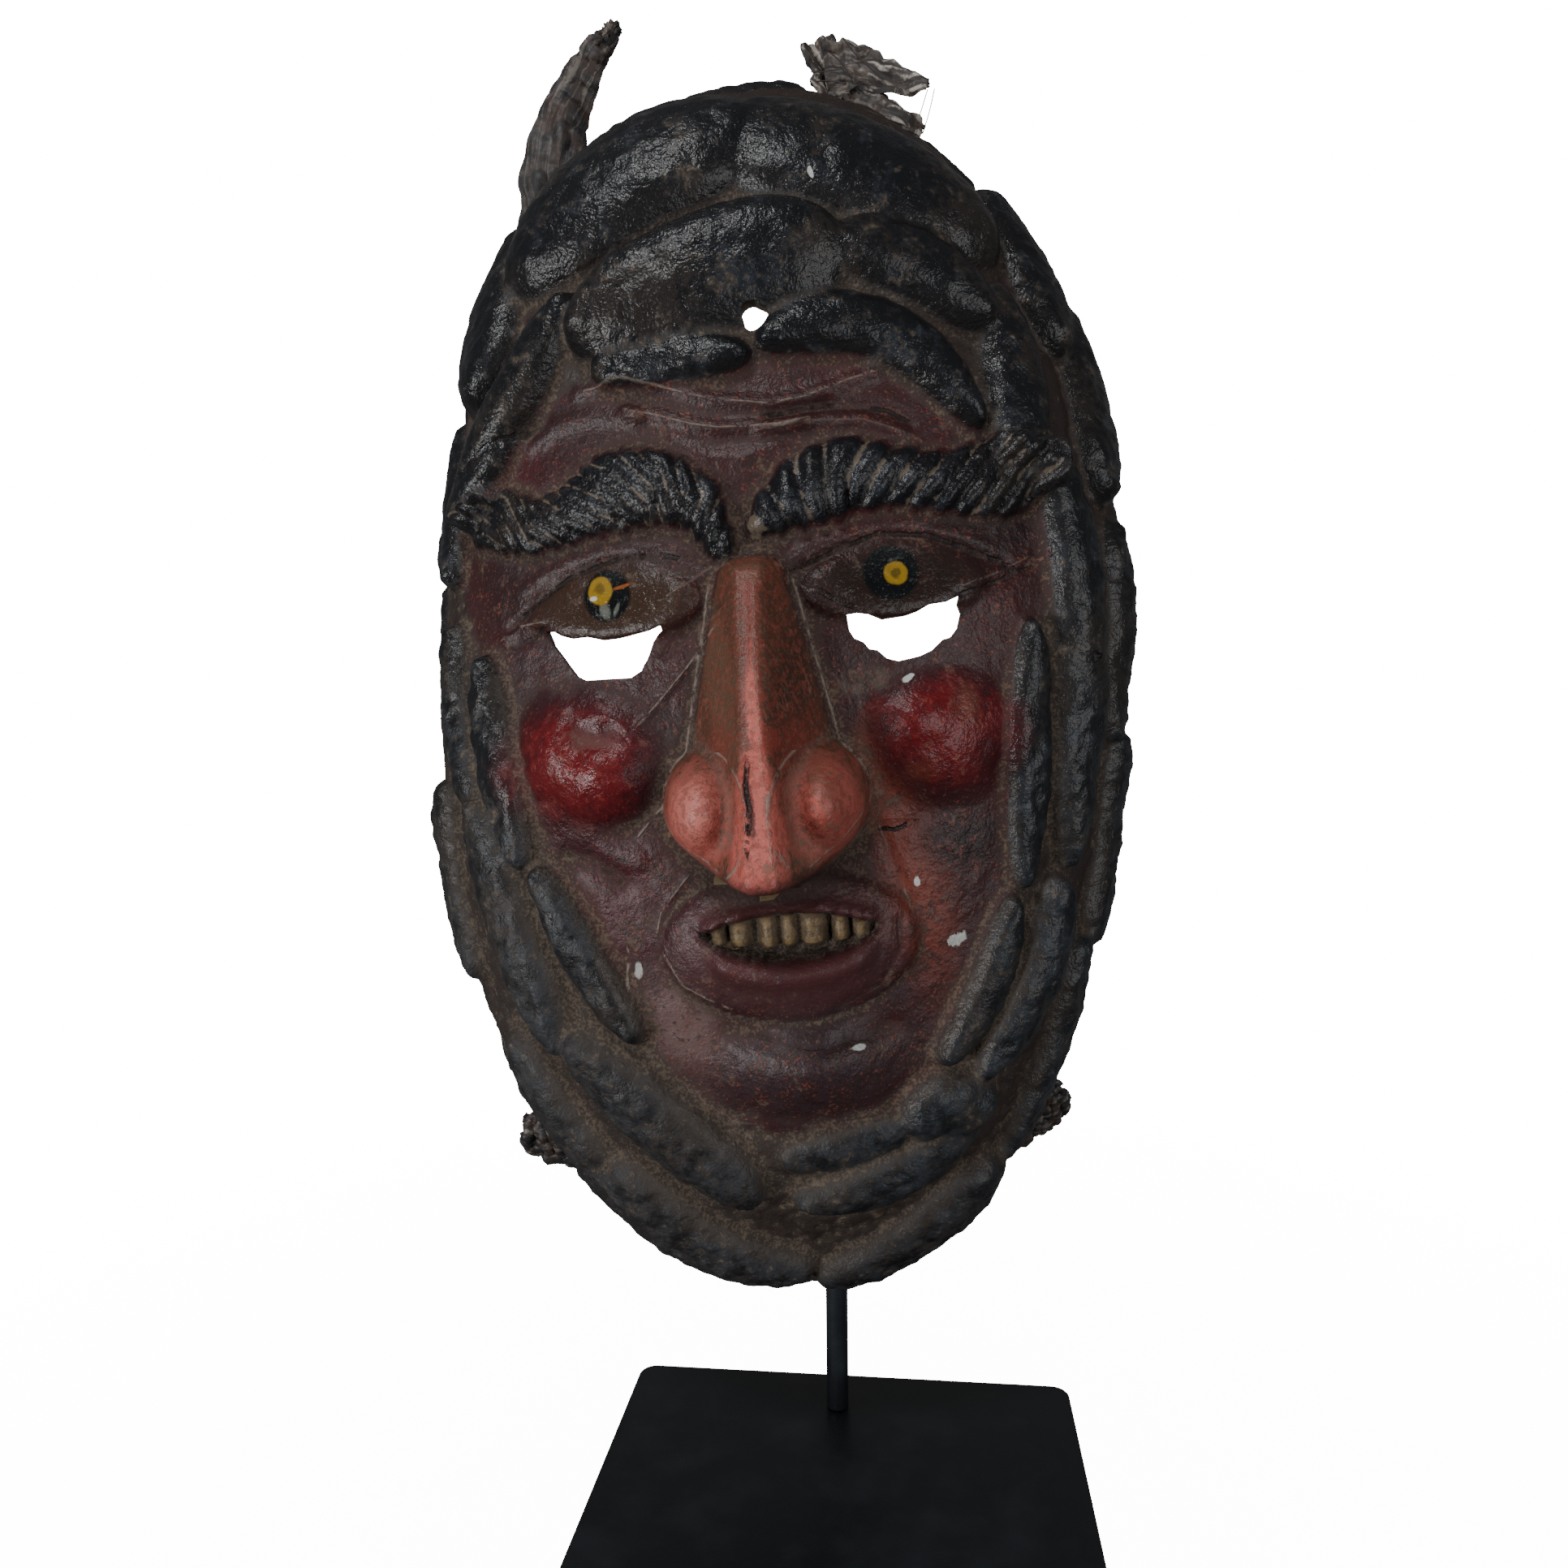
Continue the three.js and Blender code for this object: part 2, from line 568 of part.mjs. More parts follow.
const plate = new THREE.Mesh(plateGeometry(), steel);
plate.name = 'base_plate';

const postLength = POST_TOP - PLATE_THICKNESS - TOUCH_GAP;
const post = new THREE.Mesh(
  new THREE.CylinderGeometry(POST_DIAMETER / 2, POST_DIAMETER / 2, postLength, POST_SIDES),
  steel,
);
post.name = 'post';
post.rotation.x = Math.PI / 2;
post.position.set(POST_X, POST_Y, PLATE_THICKNESS + TOUCH_GAP + postLength / 2);

const part = new THREE.Group();
part.add(maskGroup, hanger, post, plate);

export default part;
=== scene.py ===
"""Looks of a moulded and painted hide mask with locks of hair, on a rod and plate stand.

Lengths are in millimetres in the mask's own front view (right, up, out towards the viewer),
and turn to metres in the shared frame when a mesh is made.
"""

import logging
import math
from dataclasses import dataclass
from enum import Enum
from functools import partial
from typing import Any, Callable, Sequence

import bpy
import numpy as np
from mathutils import Matrix, Vector, kdtree, noise


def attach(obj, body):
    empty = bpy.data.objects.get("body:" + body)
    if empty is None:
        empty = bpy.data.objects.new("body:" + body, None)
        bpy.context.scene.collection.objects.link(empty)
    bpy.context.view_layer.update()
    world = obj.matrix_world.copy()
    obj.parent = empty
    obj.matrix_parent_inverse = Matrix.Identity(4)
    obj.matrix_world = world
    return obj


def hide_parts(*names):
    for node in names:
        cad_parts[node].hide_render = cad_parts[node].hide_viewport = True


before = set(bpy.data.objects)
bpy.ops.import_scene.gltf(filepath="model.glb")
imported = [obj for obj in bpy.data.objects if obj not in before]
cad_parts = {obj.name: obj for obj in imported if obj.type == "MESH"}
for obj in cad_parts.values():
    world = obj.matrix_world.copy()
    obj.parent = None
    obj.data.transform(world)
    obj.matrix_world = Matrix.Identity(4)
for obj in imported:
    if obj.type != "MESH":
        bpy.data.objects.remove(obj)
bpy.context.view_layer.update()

LOG = logging.getLogger("mask")
MM = 0.001
Field = np.ndarray
Point = tuple[float, float]
Triple = tuple[float, float, float]
Outline = tuple[Point, ...]
Piece = bpy.types.Object
Socket = bpy.types.NodeSocket
Material = bpy.types.Material


# Small helpers for numbers


def ease(value: Field, start: float, end: float) -> Field:
    """Step smoothly from 0 at start to 1 at end.

    Args:
        value: Numbers to step.
        start: Where the step begins.
        end: Where the step is done; it may be below start.

    Returns:
        A share from 0 to 1 for each number.
    """
    share = np.clip((value - start) / (end - start), 0.0, 1.0)
    return share * share * (3.0 - 2.0 * share)


def boss(x: Field, z: Field, centre: Point, size: Point, power: float = 2.0) -> Field:
    """Height of a rounded boss that stands 1 high inside an oval.

    Args:
        x: Places to the right.
        z: Places upwards.
        centre: Middle of the oval.
        size: Half-width and half-height of the oval.
        power: How slowly the boss rises; below 1 gives a steep edge.

    Returns:
        A height from 0 to 1 for each place.
    """
    q = ((x - centre[0]) / size[0]) ** 2 + ((z - centre[1]) / size[1]) ** 2
    return np.clip(1.0 - q, 0.0, 1.0) ** power


def along_line(x: Field, z: Field, points: Sequence[Point]) -> tuple[Field, Field, Field]:
    """Find where each place lies beside a line through points.

    Args:
        x: Places to the right.
        z: Places upwards.
        points: The line's corners in order.

    Returns:
        Distance from the line, distance run along it, and signed distance to its upper side.
    """
    nearest = np.full(x.shape, 1e9)
    run = np.zeros(x.shape)
    side = np.zeros(x.shape)
    travelled = 0.0
    for (ax, az), (bx, bz) in zip(points, points[1:]):
        length = math.hypot(bx - ax, bz - az)
        ux, uz = (bx - ax) / length, (bz - az) / length
        t = np.clip((x - ax) * ux + (z - az) * uz, 0.0, length)
        dx, dz = x - ax - t * ux, z - az - t * uz
        distance = np.hypot(dx, dz)
        closer = distance < nearest
        nearest = np.where(closer, distance, nearest)
        run = np.where(closer, travelled + t, run)
        side = np.where(closer, distance * np.sign(dz * ux - dx * uz), side)
        travelled += length
    return nearest, run, side


def inside_outline(x: Field, z: Field, outline: Sequence[Point]) -> Field:
    """Signed distance to a closed outline.

    Args:
        x: Places to the right.
        z: Places upwards.
        outline: The outline's corners in order.

    Returns:
        Distance from the outline, above 0 inside it and below 0 outside.
    """
    closed = [*outline, outline[0]]
    distance, _, _ = along_line(x, z, closed)
    inside = np.zeros(x.shape, bool)
    for (ax, az), (bx, bz) in zip(closed, closed[1:]):
        crosses = (az > z) != (bz > z)
        rise = bz - az if bz != az else 1e-9
        inside ^= crosses & (x < (bx - ax) * (z - az) / rise + ax)
    return np.where(inside, distance, -distance)


def lumps(x: Field, y: Field, size: float, seed: float, octaves: int = 1) -> Field:
    """Smooth lumps that repeat nowhere.

    Args:
        x: Places along the first axis.
        y: Places along the second axis.
        size: Width of one lump.
        seed: Shifts the pattern, so that two uses differ.
        octaves: Layers of lumps, each half the size and half the height of the one before.

    Returns:
        Numbers from about -1 to 1.
    """
    points = np.stack([x.ravel(), y.ravel(), np.zeros(x.size)], axis=1) / size + seed
    total = np.zeros(x.size)
    for octave in range(octaves):
        scaled = points * 2.0**octave
        total += np.array([noise.noise(Vector(p)) for p in scaled]) / 2.0**octave
    return total.reshape(x.shape)


def blurred(grid: Field, passes: int) -> Field:
    """Soften a grid of numbers by averaging neighbours.

    Args:
        grid: Numbers in rows and columns.
        passes: How often to average.

    Returns:
        The softened grid.
    """
    soft = grid
    for _ in range(passes):
        wide = np.pad(soft, 1, mode="edge")
        cross = wide[2:, 1:-1] + wide[:-2, 1:-1] + wide[1:-1, 2:] + wide[1:-1, :-2]
        soft = 0.5 * soft + 0.125 * cross
    return soft


def linear(hex_code: str) -> tuple[float, float, float, float]:
    """Turn an sRGB hex colour such as "1c2226" into linear red, green, blue and alpha."""
    values = [int(hex_code[i : i + 2], 16) / 255.0 for i in (0, 2, 4)]
    parts = [v / 12.92 if v <= 0.04045 else ((v + 0.055) / 1.055) ** 2.4 for v in values]
    return (parts[0], parts[1], parts[2], 1.0)


# The bare shell


@dataclass(frozen=True)
class Hang:
    """Where the mask hangs: the middle of its rim plane, its turn and its lean."""

    centre: Triple = (-18.2, 44.0, 210.0)
    turn: float = math.radians(3.5)
    lean: float = math.radians(3.6)

    def matrix(self) -> Field:
        """Work out the rotation from the mask's own axes to the shared frame.

        Returns:
            Three rows of three.
        """
        ct, st = math.cos(self.turn), math.sin(self.turn)
        cl, sl = math.cos(self.lean), math.sin(self.lean)
        turned = np.array([[ct, -st, 0.0], [st, ct, 0.0], [0.0, 0.0, 1.0]])
        leaned = np.array([[cl, 0.0, -sl], [0.0, 1.0, 0.0], [sl, 0.0, cl]])
        return turned @ leaned

    def to_frame(self, rows: Field) -> Field:
        """Place front-view points in the shared frame.

        Args:
            rows: Millimetres to the right, towards the viewer and upwards for each point.

        Returns:
            One row of three metres for each point.
        """
        local = rows * np.array([1.0, -1.0, 1.0])
        return (local @ self.matrix().T + np.array(self.centre)) * MM


@dataclass(frozen=True)
class Dome:
    """The bare shell: an egg outline with a sway to one side, domed forward."""

    half_width: float = 88.0
    half_height: float = 156.0
    egg_power: float = 2.15
    shift_x: float = 1.3
    shift_z: float = 1.5
    sway: float = 4.7
    depth: float = 62.0
    power: float = 0.8
    wall: float = 3.0
    middle_share: float = 0.86
    nudge: float = 0.004
    last_normal: float = 0.985

    def rim(self, angle: Field) -> Field:
        """Find how far the rim is from the middle.

        Args:
            angle: Directions from the middle.

        Returns:
            Millimetres in each direction.
        """
        wide = np.abs(np.cos(angle) / self.half_width) ** self.egg_power
        tall = np.abs(np.sin(angle) / self.half_height) ** self.egg_power
        egg = (wide + tall) ** (-1.0 / self.egg_power)
        shifted = self.shift_x * np.cos(angle) + self.shift_z * np.sin(angle)
        return egg + shifted + self.sway * np.sin(2.0 * angle)

    def disc(self, x: Field, y: Field) -> tuple[Field, Field]:
        """Direction and share of the way to the rim for points of the unit disc."""
        reach = np.hypot(x, y)
        share = self.middle_share * reach + (1.0 - self.middle_share) * reach**3
        return np.arctan2(self.half_height * y, self.half_width * x), share

    def point(self, angle: Field, share: Field) -> Field:
        """Find a place on the bare dome.

        Args:
            angle: Its direction from the middle.
            share: Its share of the way to the rim.

        Returns:
            The front-view point (right, out, up).
        """
        turn = share * math.pi / 2.0
        radius = self.rim(angle) * np.sin(turn)
        out = self.depth * np.maximum(np.cos(turn), 0.0) ** self.power
        return np.stack([radius * np.cos(angle), out, radius * np.sin(angle)], axis=-1)

    def normal(self, angle: Field, share: Field) -> Field:
        """Find which way the bare dome faces.

        Args:
            angle: Direction of the place from the middle.
            share: Its share of the way to the rim.

        Returns:
            A front-view direction (right, out, up) of length 1.
        """
        at = np.minimum(share, self.last_normal)
        step = self.nudge
        across = self.point(angle + step, at) - self.point(angle - step, at)
        along = self.point(angle, at + step) - self.point(angle, np.maximum(at - step, 0.0))
        facing = np.cross(across, along)
        length = np.linalg.norm(facing, axis=-1, keepdims=True)
        straight = np.array([0.0, 1.0, 0.0])
        facing = np.where(length > 1e-9, facing / np.maximum(length, 1e-9), straight)
        return facing * np.sign(facing[..., 1:2] + 1e-6)

    def chart(self, angle: Field, share: Field) -> tuple[Field, Field]:
        """Place on the flattened-out shell, where the locks are drawn."""
        arc = math.pi / 2.0 * np.sqrt((self.rim(angle) ** 2 + self.depth**2) / 2.0)
        return share * arc * np.cos(angle), share * arc * np.sin(angle)


# Locks of hair


@dataclass(frozen=True)
class Lock:
    """One lock of hair as a fat curve on the flattened-out shell."""

    start: Point
    middle: Point
    end: Point
    width: float
    height: float
    lean: float = 0.0

    def line(self, steps: int) -> Field:
        """Points along the lock, each with its half-width.

        Args:
            steps: Number of points.

        Returns:
            Rows of place right, place up and half-width.
        """
        t = (np.arange(steps) + 0.5) / steps
        weights = np.stack([(1 - t) * (1 - 2 * t), 4 * t * (1 - t), t * (2 * t - 1)], axis=1)
        path = weights @ np.array([self.start, self.middle, self.end])
        reach = self.width * np.sqrt(1.0 - np.abs(2.0 * t - 1.0) ** 3)
        return np.column_stack([path, reach])


HAIR_LOCKS: tuple[Lock, ...] = tuple(Lock(*row) for row in (
    ((-42, 107), (-22, 118), (1, 122), 23, 11),
    ((2, 123), (26, 114), (52, 103), 21, 9.5),
    ((-29, 77), (-2, 83), (17, 87), 14.5, 10, 0.35),
    ((-27, 68), (-13, 66), (2, 64), 5, 5),
    ((5, 66), (28, 70), (47, 54), 7, 6),
    ((21, 86), (36, 86), (50, 78), 10.5, 9),
    ((54, 86), (58, 68), (56, 50), 9.5, 7),
    ((64, 126), (73, 108), (74, 84), 13, 8),
    ((84, 98), (90, 76), (88, 50), 13, 8),
    ((-52, 122), (-61, 103), (-60, 82), 14, 9),
    ((-33, 86), (-51, 70), (-74, 54), 8.5, 8),
    ((-80, 86), (-88, 66), (-82, 42), 9, 6),
    ((-66, 17), (-64, -7), (-54, -30), 7, 6),
    ((-82, 28), (-82, 4), (-71, -18), 8, 6),
    ((-92, -16), (-98, -42), (-84, -66), 12, 7),
    ((-70, -18), (-61, -43), (-49, -70), 10, 8),
    ((-51, -31), (-40, -48), (-30, -63), 6, 6),
    ((-66, -76), (-56, -94), (-44, -109), 10.5, 8),
    ((-45, -67), (-28, -83), (-10, -102), 10, 8),
    ((-38, -102), (-28, -124), (-2, -137), 14, 9),
    ((-58, -118), (-56, -132), (-44, -146), 7, 5),
    ((59, 15), (59, -14), (54, -43), 6.5, 5),
    ((65, 54), (77, 10), (69, -43), 10, 7),
    ((94, 42), (103, 14), (95, -14), 12, 6.5),
    ((99, -16), (100, -44), (82, -70), 13, 8),
    ((50, -45), (43, -61), (31, -74), 6, 6),
    ((64, -46), (58, -64), (40, -81), 9, 8),
    ((76, -68), (70, -93), (50, -118), 10, 7),
    ((26, -84), (33, -87), (40, -90), 9, 8),
    ((37, -93), (22, -102), (0, -104), 8.5, 7),
    ((-2, -92), (10, -91), (24, -88), 6, 4),
    ((42, -118), (30, -136), (4, -144), 16, 8.5),
))


@dataclass(frozen=True)
class HairRelief:
    """All locks together: how far they stand out of the shell, and where they are."""

    dome: Dome
    locks: tuple[Lock, ...] = HAIR_LOCKS
    rim_curls: int = 20
    rim_share: float = 0.93
    rim_stagger: float = 0.02
    rim_slant: float = 0.03
    rim_arc: float = 0.23
    rim_width: float = 7.5
    rim_height: float = 5.0
    steps: int = 34
    spread: float = 1.02
    roundness: float = 0.52
    flatness: float = 2.5

    def curls(self) -> tuple[Lock, ...]:
        """Lay out the plain curls that follow the rim.

        Returns:
            The curls in order.
        """
        made = []
        for i in range(self.rim_curls):
            angle = 2.0 * math.pi * i / self.rim_curls
            share = self.rim_share + self.rim_stagger * (-1) ** i
            ends = []
            for turn, shift in ((-0.5, -1.0), (0.0, 0.0), (0.5, 1.0)):
                at = np.array(angle + turn * self.rim_arc)
                u, v = self.dome.chart(at, np.array(share + shift * self.rim_slant))
                ends.append((float(u), float(v)))
            made.append(Lock(ends[0], ends[1], ends[2], self.rim_width, self.rim_height))
        return tuple(made)

    def fields(self, u: Field, v: Field) -> dict[str, Field]:
        """Work out the locks at places of the flattened-out shell.

        Args:
            u: Places to the right.
            v: Places upwards.

        Returns:
            height in millimetres, near (1 in the middle of a lock to 0 at its edge), and run
            (millimetres along the lock).
        """
        height = np.zeros(u.shape)
        near = np.full(u.shape, -1.0)
        run = np.zeros(u.shape)
        for lock in (*self.locks, *self.curls()):
            discs = lock.line(self.steps)
            low = (discs[:, :2] - discs[:, 2:]).min(axis=0) - 4.0
            high = (discs[:, :2] + discs[:, 2:]).max(axis=0) + 4.0
            here = (u > low[0]) & (u < high[0]) & (v > low[1]) & (v < high[1])
            if not here.any():
                continue
            du = u[here][:, None] - discs[:, 0]
            dv = v[here][:, None] - discs[:, 1]
            q = np.hypot(du, dv) / (discs[:, 2] * self.spread)
            closest = q.argmin(axis=1)
            best = q[np.arange(len(closest)), closest]
            up = dv[np.arange(len(closest)), closest] / lock.width
            pillow = np.clip(1.0 - best**self.flatness, 0.0, 1.0) ** self.roundness
            rise = lock.height * pillow * (1.0 + lock.lean * up)
            length = np.linalg.norm(np.diff(discs[:, :2], axis=0), axis=1).sum()
            higher = rise > height[here]
            spot = np.flatnonzero(here)
            height.flat[spot] = np.maximum(height.flat[spot], rise)
            run.flat[spot[higher]] = closest[higher] / self.steps * length
            near.flat[spot] = np.maximum(near.flat[spot], 1.0 - best)
        return {"height": height, "near": near, "run": run}


# The face


class Ink(Enum):
    """What lies along a line of the face."""

    PALE = "pale"
    DARK = "dark"


@dataclass(frozen=True)
class FaceLine:
    """A raised or pressed-in line on the face, pale (rubbed wear and painted highlight) or dark (dark
    paint and painted shade in grooves).
    """

    points: Outline
    width: float
    rise: float
    ink: Ink
    strength: float


FACE_LINES: tuple[FaceLine, ...] = tuple(FaceLine(*row) for row in (
    # Forehead folds: painted highlight along the crests, painted shade in the groove between
    (
        ((-38, 77), (-26, 77.5), (-17, 75), (-5, 71), (7, 69), (15, 70), (24, 73), (31, 75)),
        1.6, 1.6, Ink.PALE, 0.5,
    ),
    (((-26, 71), (-19, 69), (-11, 66), (-5, 64.5), (9, 64), (15, 65)), 1.6, 1.7, Ink.PALE, 0.5),
    (((7, 66.5), (20, 68), (27, 67.5), (34, 66), (39, 63)), 1.2, -1.4, Ink.DARK, 0.8),
    (((5, 63), (18, 64.5), (28, 64), (36, 61)), 1.6, 1.3, Ink.PALE, 0.2),
    (((-66, 60), (-58, 66), (-48, 71)), 1.6, -1.1, Ink.DARK, 0.5),
    (((-52, 67), (-44, 70), (-34, 71), (-24, 69)), 2.0, 1.2, Ink.PALE, 0.1),
    (((-15, 62), (-8, 58), (0, 57), (8, 59)), 2.4, 1.2, Ink.PALE, 0.0),
    (((-62, 22), (-57, 24.5), (-50, 24.5)), 1.0, 0.6, Ink.PALE, 0.7),
    (((-60, 19.5), (-54, 21), (-50, 23)), 0.9, -0.6, Ink.DARK, 0.5),
    (((-9, 19), (-17, 10), (-28, -1)), 0.9, 0.6, Ink.PALE, 0.7),
    (((-7, 24), (-14, 20), (-20, 15)), 1.3, -0.8, Ink.DARK, 0.3),
    (((-60, 24), (-52, 29), (-43, 34), (-32, 37), (-20, 37), (-10, 34)), 1.0, -1.1, Ink.DARK, 0.8),
    (((-20, 27), (-14, 30), (-9, 33)), 0.9, 0.5, Ink.PALE, 0.2),
    (((10, 31), (20, 35), (29, 38), (41, 37), (50, 33.5), (60, 29)), 1.0, -1.1, Ink.DARK, 0.8),
    (((12, 28), (18, 24), (23, 21.5)), 1.1, -0.8, Ink.DARK, 0.7),
    (((47, 23), (57, 26), (65, 29)), 0.9, -0.7, Ink.DARK, 0.5),
    (((48, 25), (57, 28), (64, 31)), 0.9, 0.5, Ink.PALE, 0.3),
    (((-49, -31), (-43, -33), (-36, -38)), 2.6, -1.0, Ink.DARK, 0.35),
    (((-52, -27), (-42, -28), (-32, -33)), 3.0, 0.9, Ink.PALE, 0.0),
    (((25, -28), (28, -38), (31, -47)), 1.0, -0.6, Ink.PALE, 0.5),
    (((-36, -54), (-37, -60), (-36, -66)), 0.7, -0.4, Ink.PALE, 0.8),
    (((-31, -27), (-24, -20)), 0.8, 0.3, Ink.PALE, 0.8),
    (((26, -29), (29, -29.5), (33, -28)), 1.2, -0.3, Ink.DARK, 1.0),
    (((-20, -37), (-27, -45), (-29, -52), (-23, -63), (-12, -69)), 1.0, 0.5, Ink.PALE, 0.6),
    (((28, -50), (28, -57), (23, -65), (13, -70)), 1.2, -0.6, Ink.DARK, 0.3),
    (((-13, -75), (6, -79), (25, -77)), 2.2, -0.9, Ink.DARK, 0.3),
    (((-14, -99), (4, -102), (22, -99)), 1.6, 0.7, Ink.PALE, 0.1),
    (((1.2, 28), (1.0, 10), (1.2, -8), (2.4, -30)), 0.9, 0.7, Ink.PALE, 0.25),
    (((-1.5, -10), (-2.2, -15), (-1.6, -20), (-2.6, -28)), 0.7, -0.9, Ink.DARK, 1.0),
    (((-19.5, -49.6), (-16, -50.6)), 1.0, -0.6, Ink.DARK, 1.0),
))


@dataclass(frozen=True)
class Brow:
    """One brow: a raised band of slanting strands, as places with the band's half-width there."""

    path: tuple[Triple, ...]
    pitch: float
    slant_start: float
    slant_end: float
    comb: float
    beads: float
    height: float = 5.5
    power: float = 0.5
    bead_length: float = 2.3
    fine: float = 0.22

    def fields(self, x: Field, z: Field) -> tuple[Field, Field, Field]:
        """Work out the brow at places of the front view.

        Args:
            x: Places to the right.
            z: Places upwards.

        Returns:
            Height of the band, how far inside it a place is, and the strand number there.
        """
        line = [(px, pz) for px, pz, _ in self.path]
        distance, run, side = along_line(x, z, line)
        marks = np.cumsum([0.0] + [math.dist(a, b) for a, b in zip(line, line[1:])])
        slant = self.slant_start + (self.slant_end - self.slant_start) * run / marks[-1]
        strand = (run - slant * side) / self.pitch
        wobble = 0.5 * np.cos(strand * 2.0 * math.pi)
        width = np.interp(run, marks, [w for _, _, w in self.path])
        inside = np.clip(1.0 - ((distance + wobble) / width) ** 2, 0.0, 1.0)
        groove = (0.5 + 0.5 * np.cos(2.0 * math.pi * strand)) ** 2
        bead = np.abs(np.cos(math.pi * (side / self.bead_length + 0.5 * np.floor(strand)))) - 0.5
        band = self.height * inside**self.power + self.fine * np.cos(6.0 * math.pi * strand) * inside
        edge = ease(inside, 0.0, 0.35)
        return band + (self.beads * bead * (1.0 - groove) - self.comb * groove) * edge, inside, strand


BROWS: tuple[Brow, ...] = (
    Brow(
        ((-67, 49, 5), (-60, 50, 8), (-51, 47, 6.5), (-42, 48.5, 7), (-30, 52.5, 10), (-20, 52.5, 9),
         (-11, 48, 6.5), (-6, 38, 3.5)),
        4.3, -1.05, -0.75, 0.9, 0.3,
    ),
    Brow(
        ((3, 42, 4), (9, 46, 7), (14, 48.5, 9), (23, 51.5, 9.5), (34, 50.5, 7.3), (44, 49, 7),
         (52, 49, 8.7), (60, 50, 10), (67, 52, 6)),
        5.8, 0.0, 1.25, 1.4, 0.7,
    ),
)


@dataclass(frozen=True)
class Nose:
    """A flat-topped ridge whose flanks close in between two round wings, and a steep underside."""

    top: float = 34.0
    root_fall: float = 6.0
    tip: float = -34.0
    ridge: float = 3.0
    root_height: float = 7.0
    tip_height: float = 36.0
    root_width: float = 8.5
    tip_width: float = 23.5
    pinch_from: float = -6.0
    pinch_to: float = -17.0
    pinch_width: float = 15.0
    under: float = -36.0
    under_rise: float = 0.026
    under_fall: float = 6.0
    wing: Point = (13.2, -21.5)
    wing_size: Point = (10.8, 14.5)
    wing_height: float = 25.0
    wing_power: float = 0.7
    melt: float = 8.0

    def fields(self, x: Field, z: Field) -> dict[str, Field]:
        """Work out the nose at places of the front view.

        Args:
            x: Places to the right.
            z: Places upwards.

        Returns:
            rise in millimetres, wing (1 in the middle of a wing to 0 at its edge), ridge (the same
            for the ridge) and edge (millimetres outside the pale lines of flanks and wings).
        """
        down = np.clip((self.top - z) / (self.top - self.tip), 0.0, 1.0)
        crest = self.root_height + (self.tip_height - self.root_height) * down
        flared = self.root_width + (self.tip_width - self.root_width) * down
        pinch = ease(z, self.pinch_from, self.pinch_to) * ease(z, self.tip + 1.0, self.tip + 10.0)
        width = flared + (self.pinch_width - flared) * pinch
        flank = 1.0 - np.clip((np.abs(x) - self.ridge) / (width - self.ridge), 0.0, 1.0)
        root = ease(z, self.top + self.root_fall / 2, self.top - self.root_fall / 2)
        wedge = crest * flank * root
        side = np.hypot(
            (np.abs(x) - self.wing[0]) / self.wing_size[0], (z - self.wing[1]) / self.wing_size[1]
        )
        wing = self.wing_height * np.clip(1.0 - side**2, 0.0, 1.0) ** self.wing_power
        overlap = np.clip(self.melt - np.abs(wedge - wing), 0.0, None) / self.melt
        both = np.maximum(wedge, wing) + 0.25 * self.melt * overlap**2 * ease(wing, 0.0, 3.0)
        underside = self.under + self.under_rise * x**2
        cut = ease(z, underside - self.under_fall, underside)
        outside = np.where(z > -8.0, np.abs(x) - flared, (side - 1.0) * self.wing_size[0])
        edge = np.maximum(outside, underside + 0.5 - z)
        ridge = np.clip(1.0 - np.abs(x + 0.2) / (3.6 + 3.8 * ease(z, -8.0, -32.0)), 0.0, 1.0)
        return {"rise": both * cut, "wing": np.clip(1.0 - side, 0.0, 1.0), "ridge": ridge, "edge": edge}


@dataclass(frozen=True)
class Mouth:
    """A raised muzzle, two lips round an opening, and a row of teeth in it."""

    muzzle: Point = (2.5, -54.5)
    muzzle_size: Point = (30.5, 18.5)
    muzzle_height: float = 6.0
    middle: Point = (3.0, -50.5)
    half_width: float = 21.0
    above: float = 4.6
    below: float = 6.4
    deep: float = 6.5
    upper_lip: float = 2.2
    lower_lip: float = 3.6
    tooth_pitch: float = 5.6
    tooth_height: float = 5.2
    tooth_foot: float = -54.6

    def fields(self, x: Field, z: Field) -> dict[str, Field]:
        """Work out the mouth at places of the front view.

        Args:
            x: Places to the right.
            z: Places upwards.

        Returns:
            rise in millimetres, and shares from 0 to 1 for tooth, gape and lip.
        """
        across = np.clip(1.0 - ((x - self.middle[0]) / self.half_width) ** 2, 0.0, 1.0)
        top = self.middle[1] + self.above * across
        bottom = self.middle[1] - self.below * across**0.8
        reach = ease(across, 0.0, 0.08)
        gape = ease(z, top + 0.6, top - 1.0) * ease(z, bottom - 1.2, bottom + 0.8) * reach
        number = (x - self.middle[0]) / self.tooth_pitch
        number = number + 0.13 * np.sin(2.3 * number + 0.6)
        scallop = np.abs(np.sin(math.pi * (number + 0.5))) ** 0.45
        foot = self.tooth_foot + 1.2 * (1.0 - scallop) + 2.0 * (1.0 - across)
        tooth = gape * scallop * ease(z, foot - 0.8, foot + 0.8)
        upper = np.exp(-(((z - top - 1.3) / 1.5) ** 2)) * ease(across, 0.0, 0.2)
        lower = np.exp(-(((z - bottom + 4.0) / 3.6) ** 2)) * ease(across, 0.0, 0.5)
        muzzle = boss(x, z, self.muzzle, self.muzzle_size, 0.55)
        rise = self.muzzle_height * muzzle - self.deep * gape + self.tooth_height * tooth
        rise += (self.upper_lip * upper + self.lower_lip * lower) * (1.0 - gape)
        lip = np.maximum(boss(x, z, self.muzzle, self.muzzle_size, 0.4), upper) * (1.0 - gape)
        return {"rise": rise, "tooth": tooth, "gape": gape, "lip": lip}


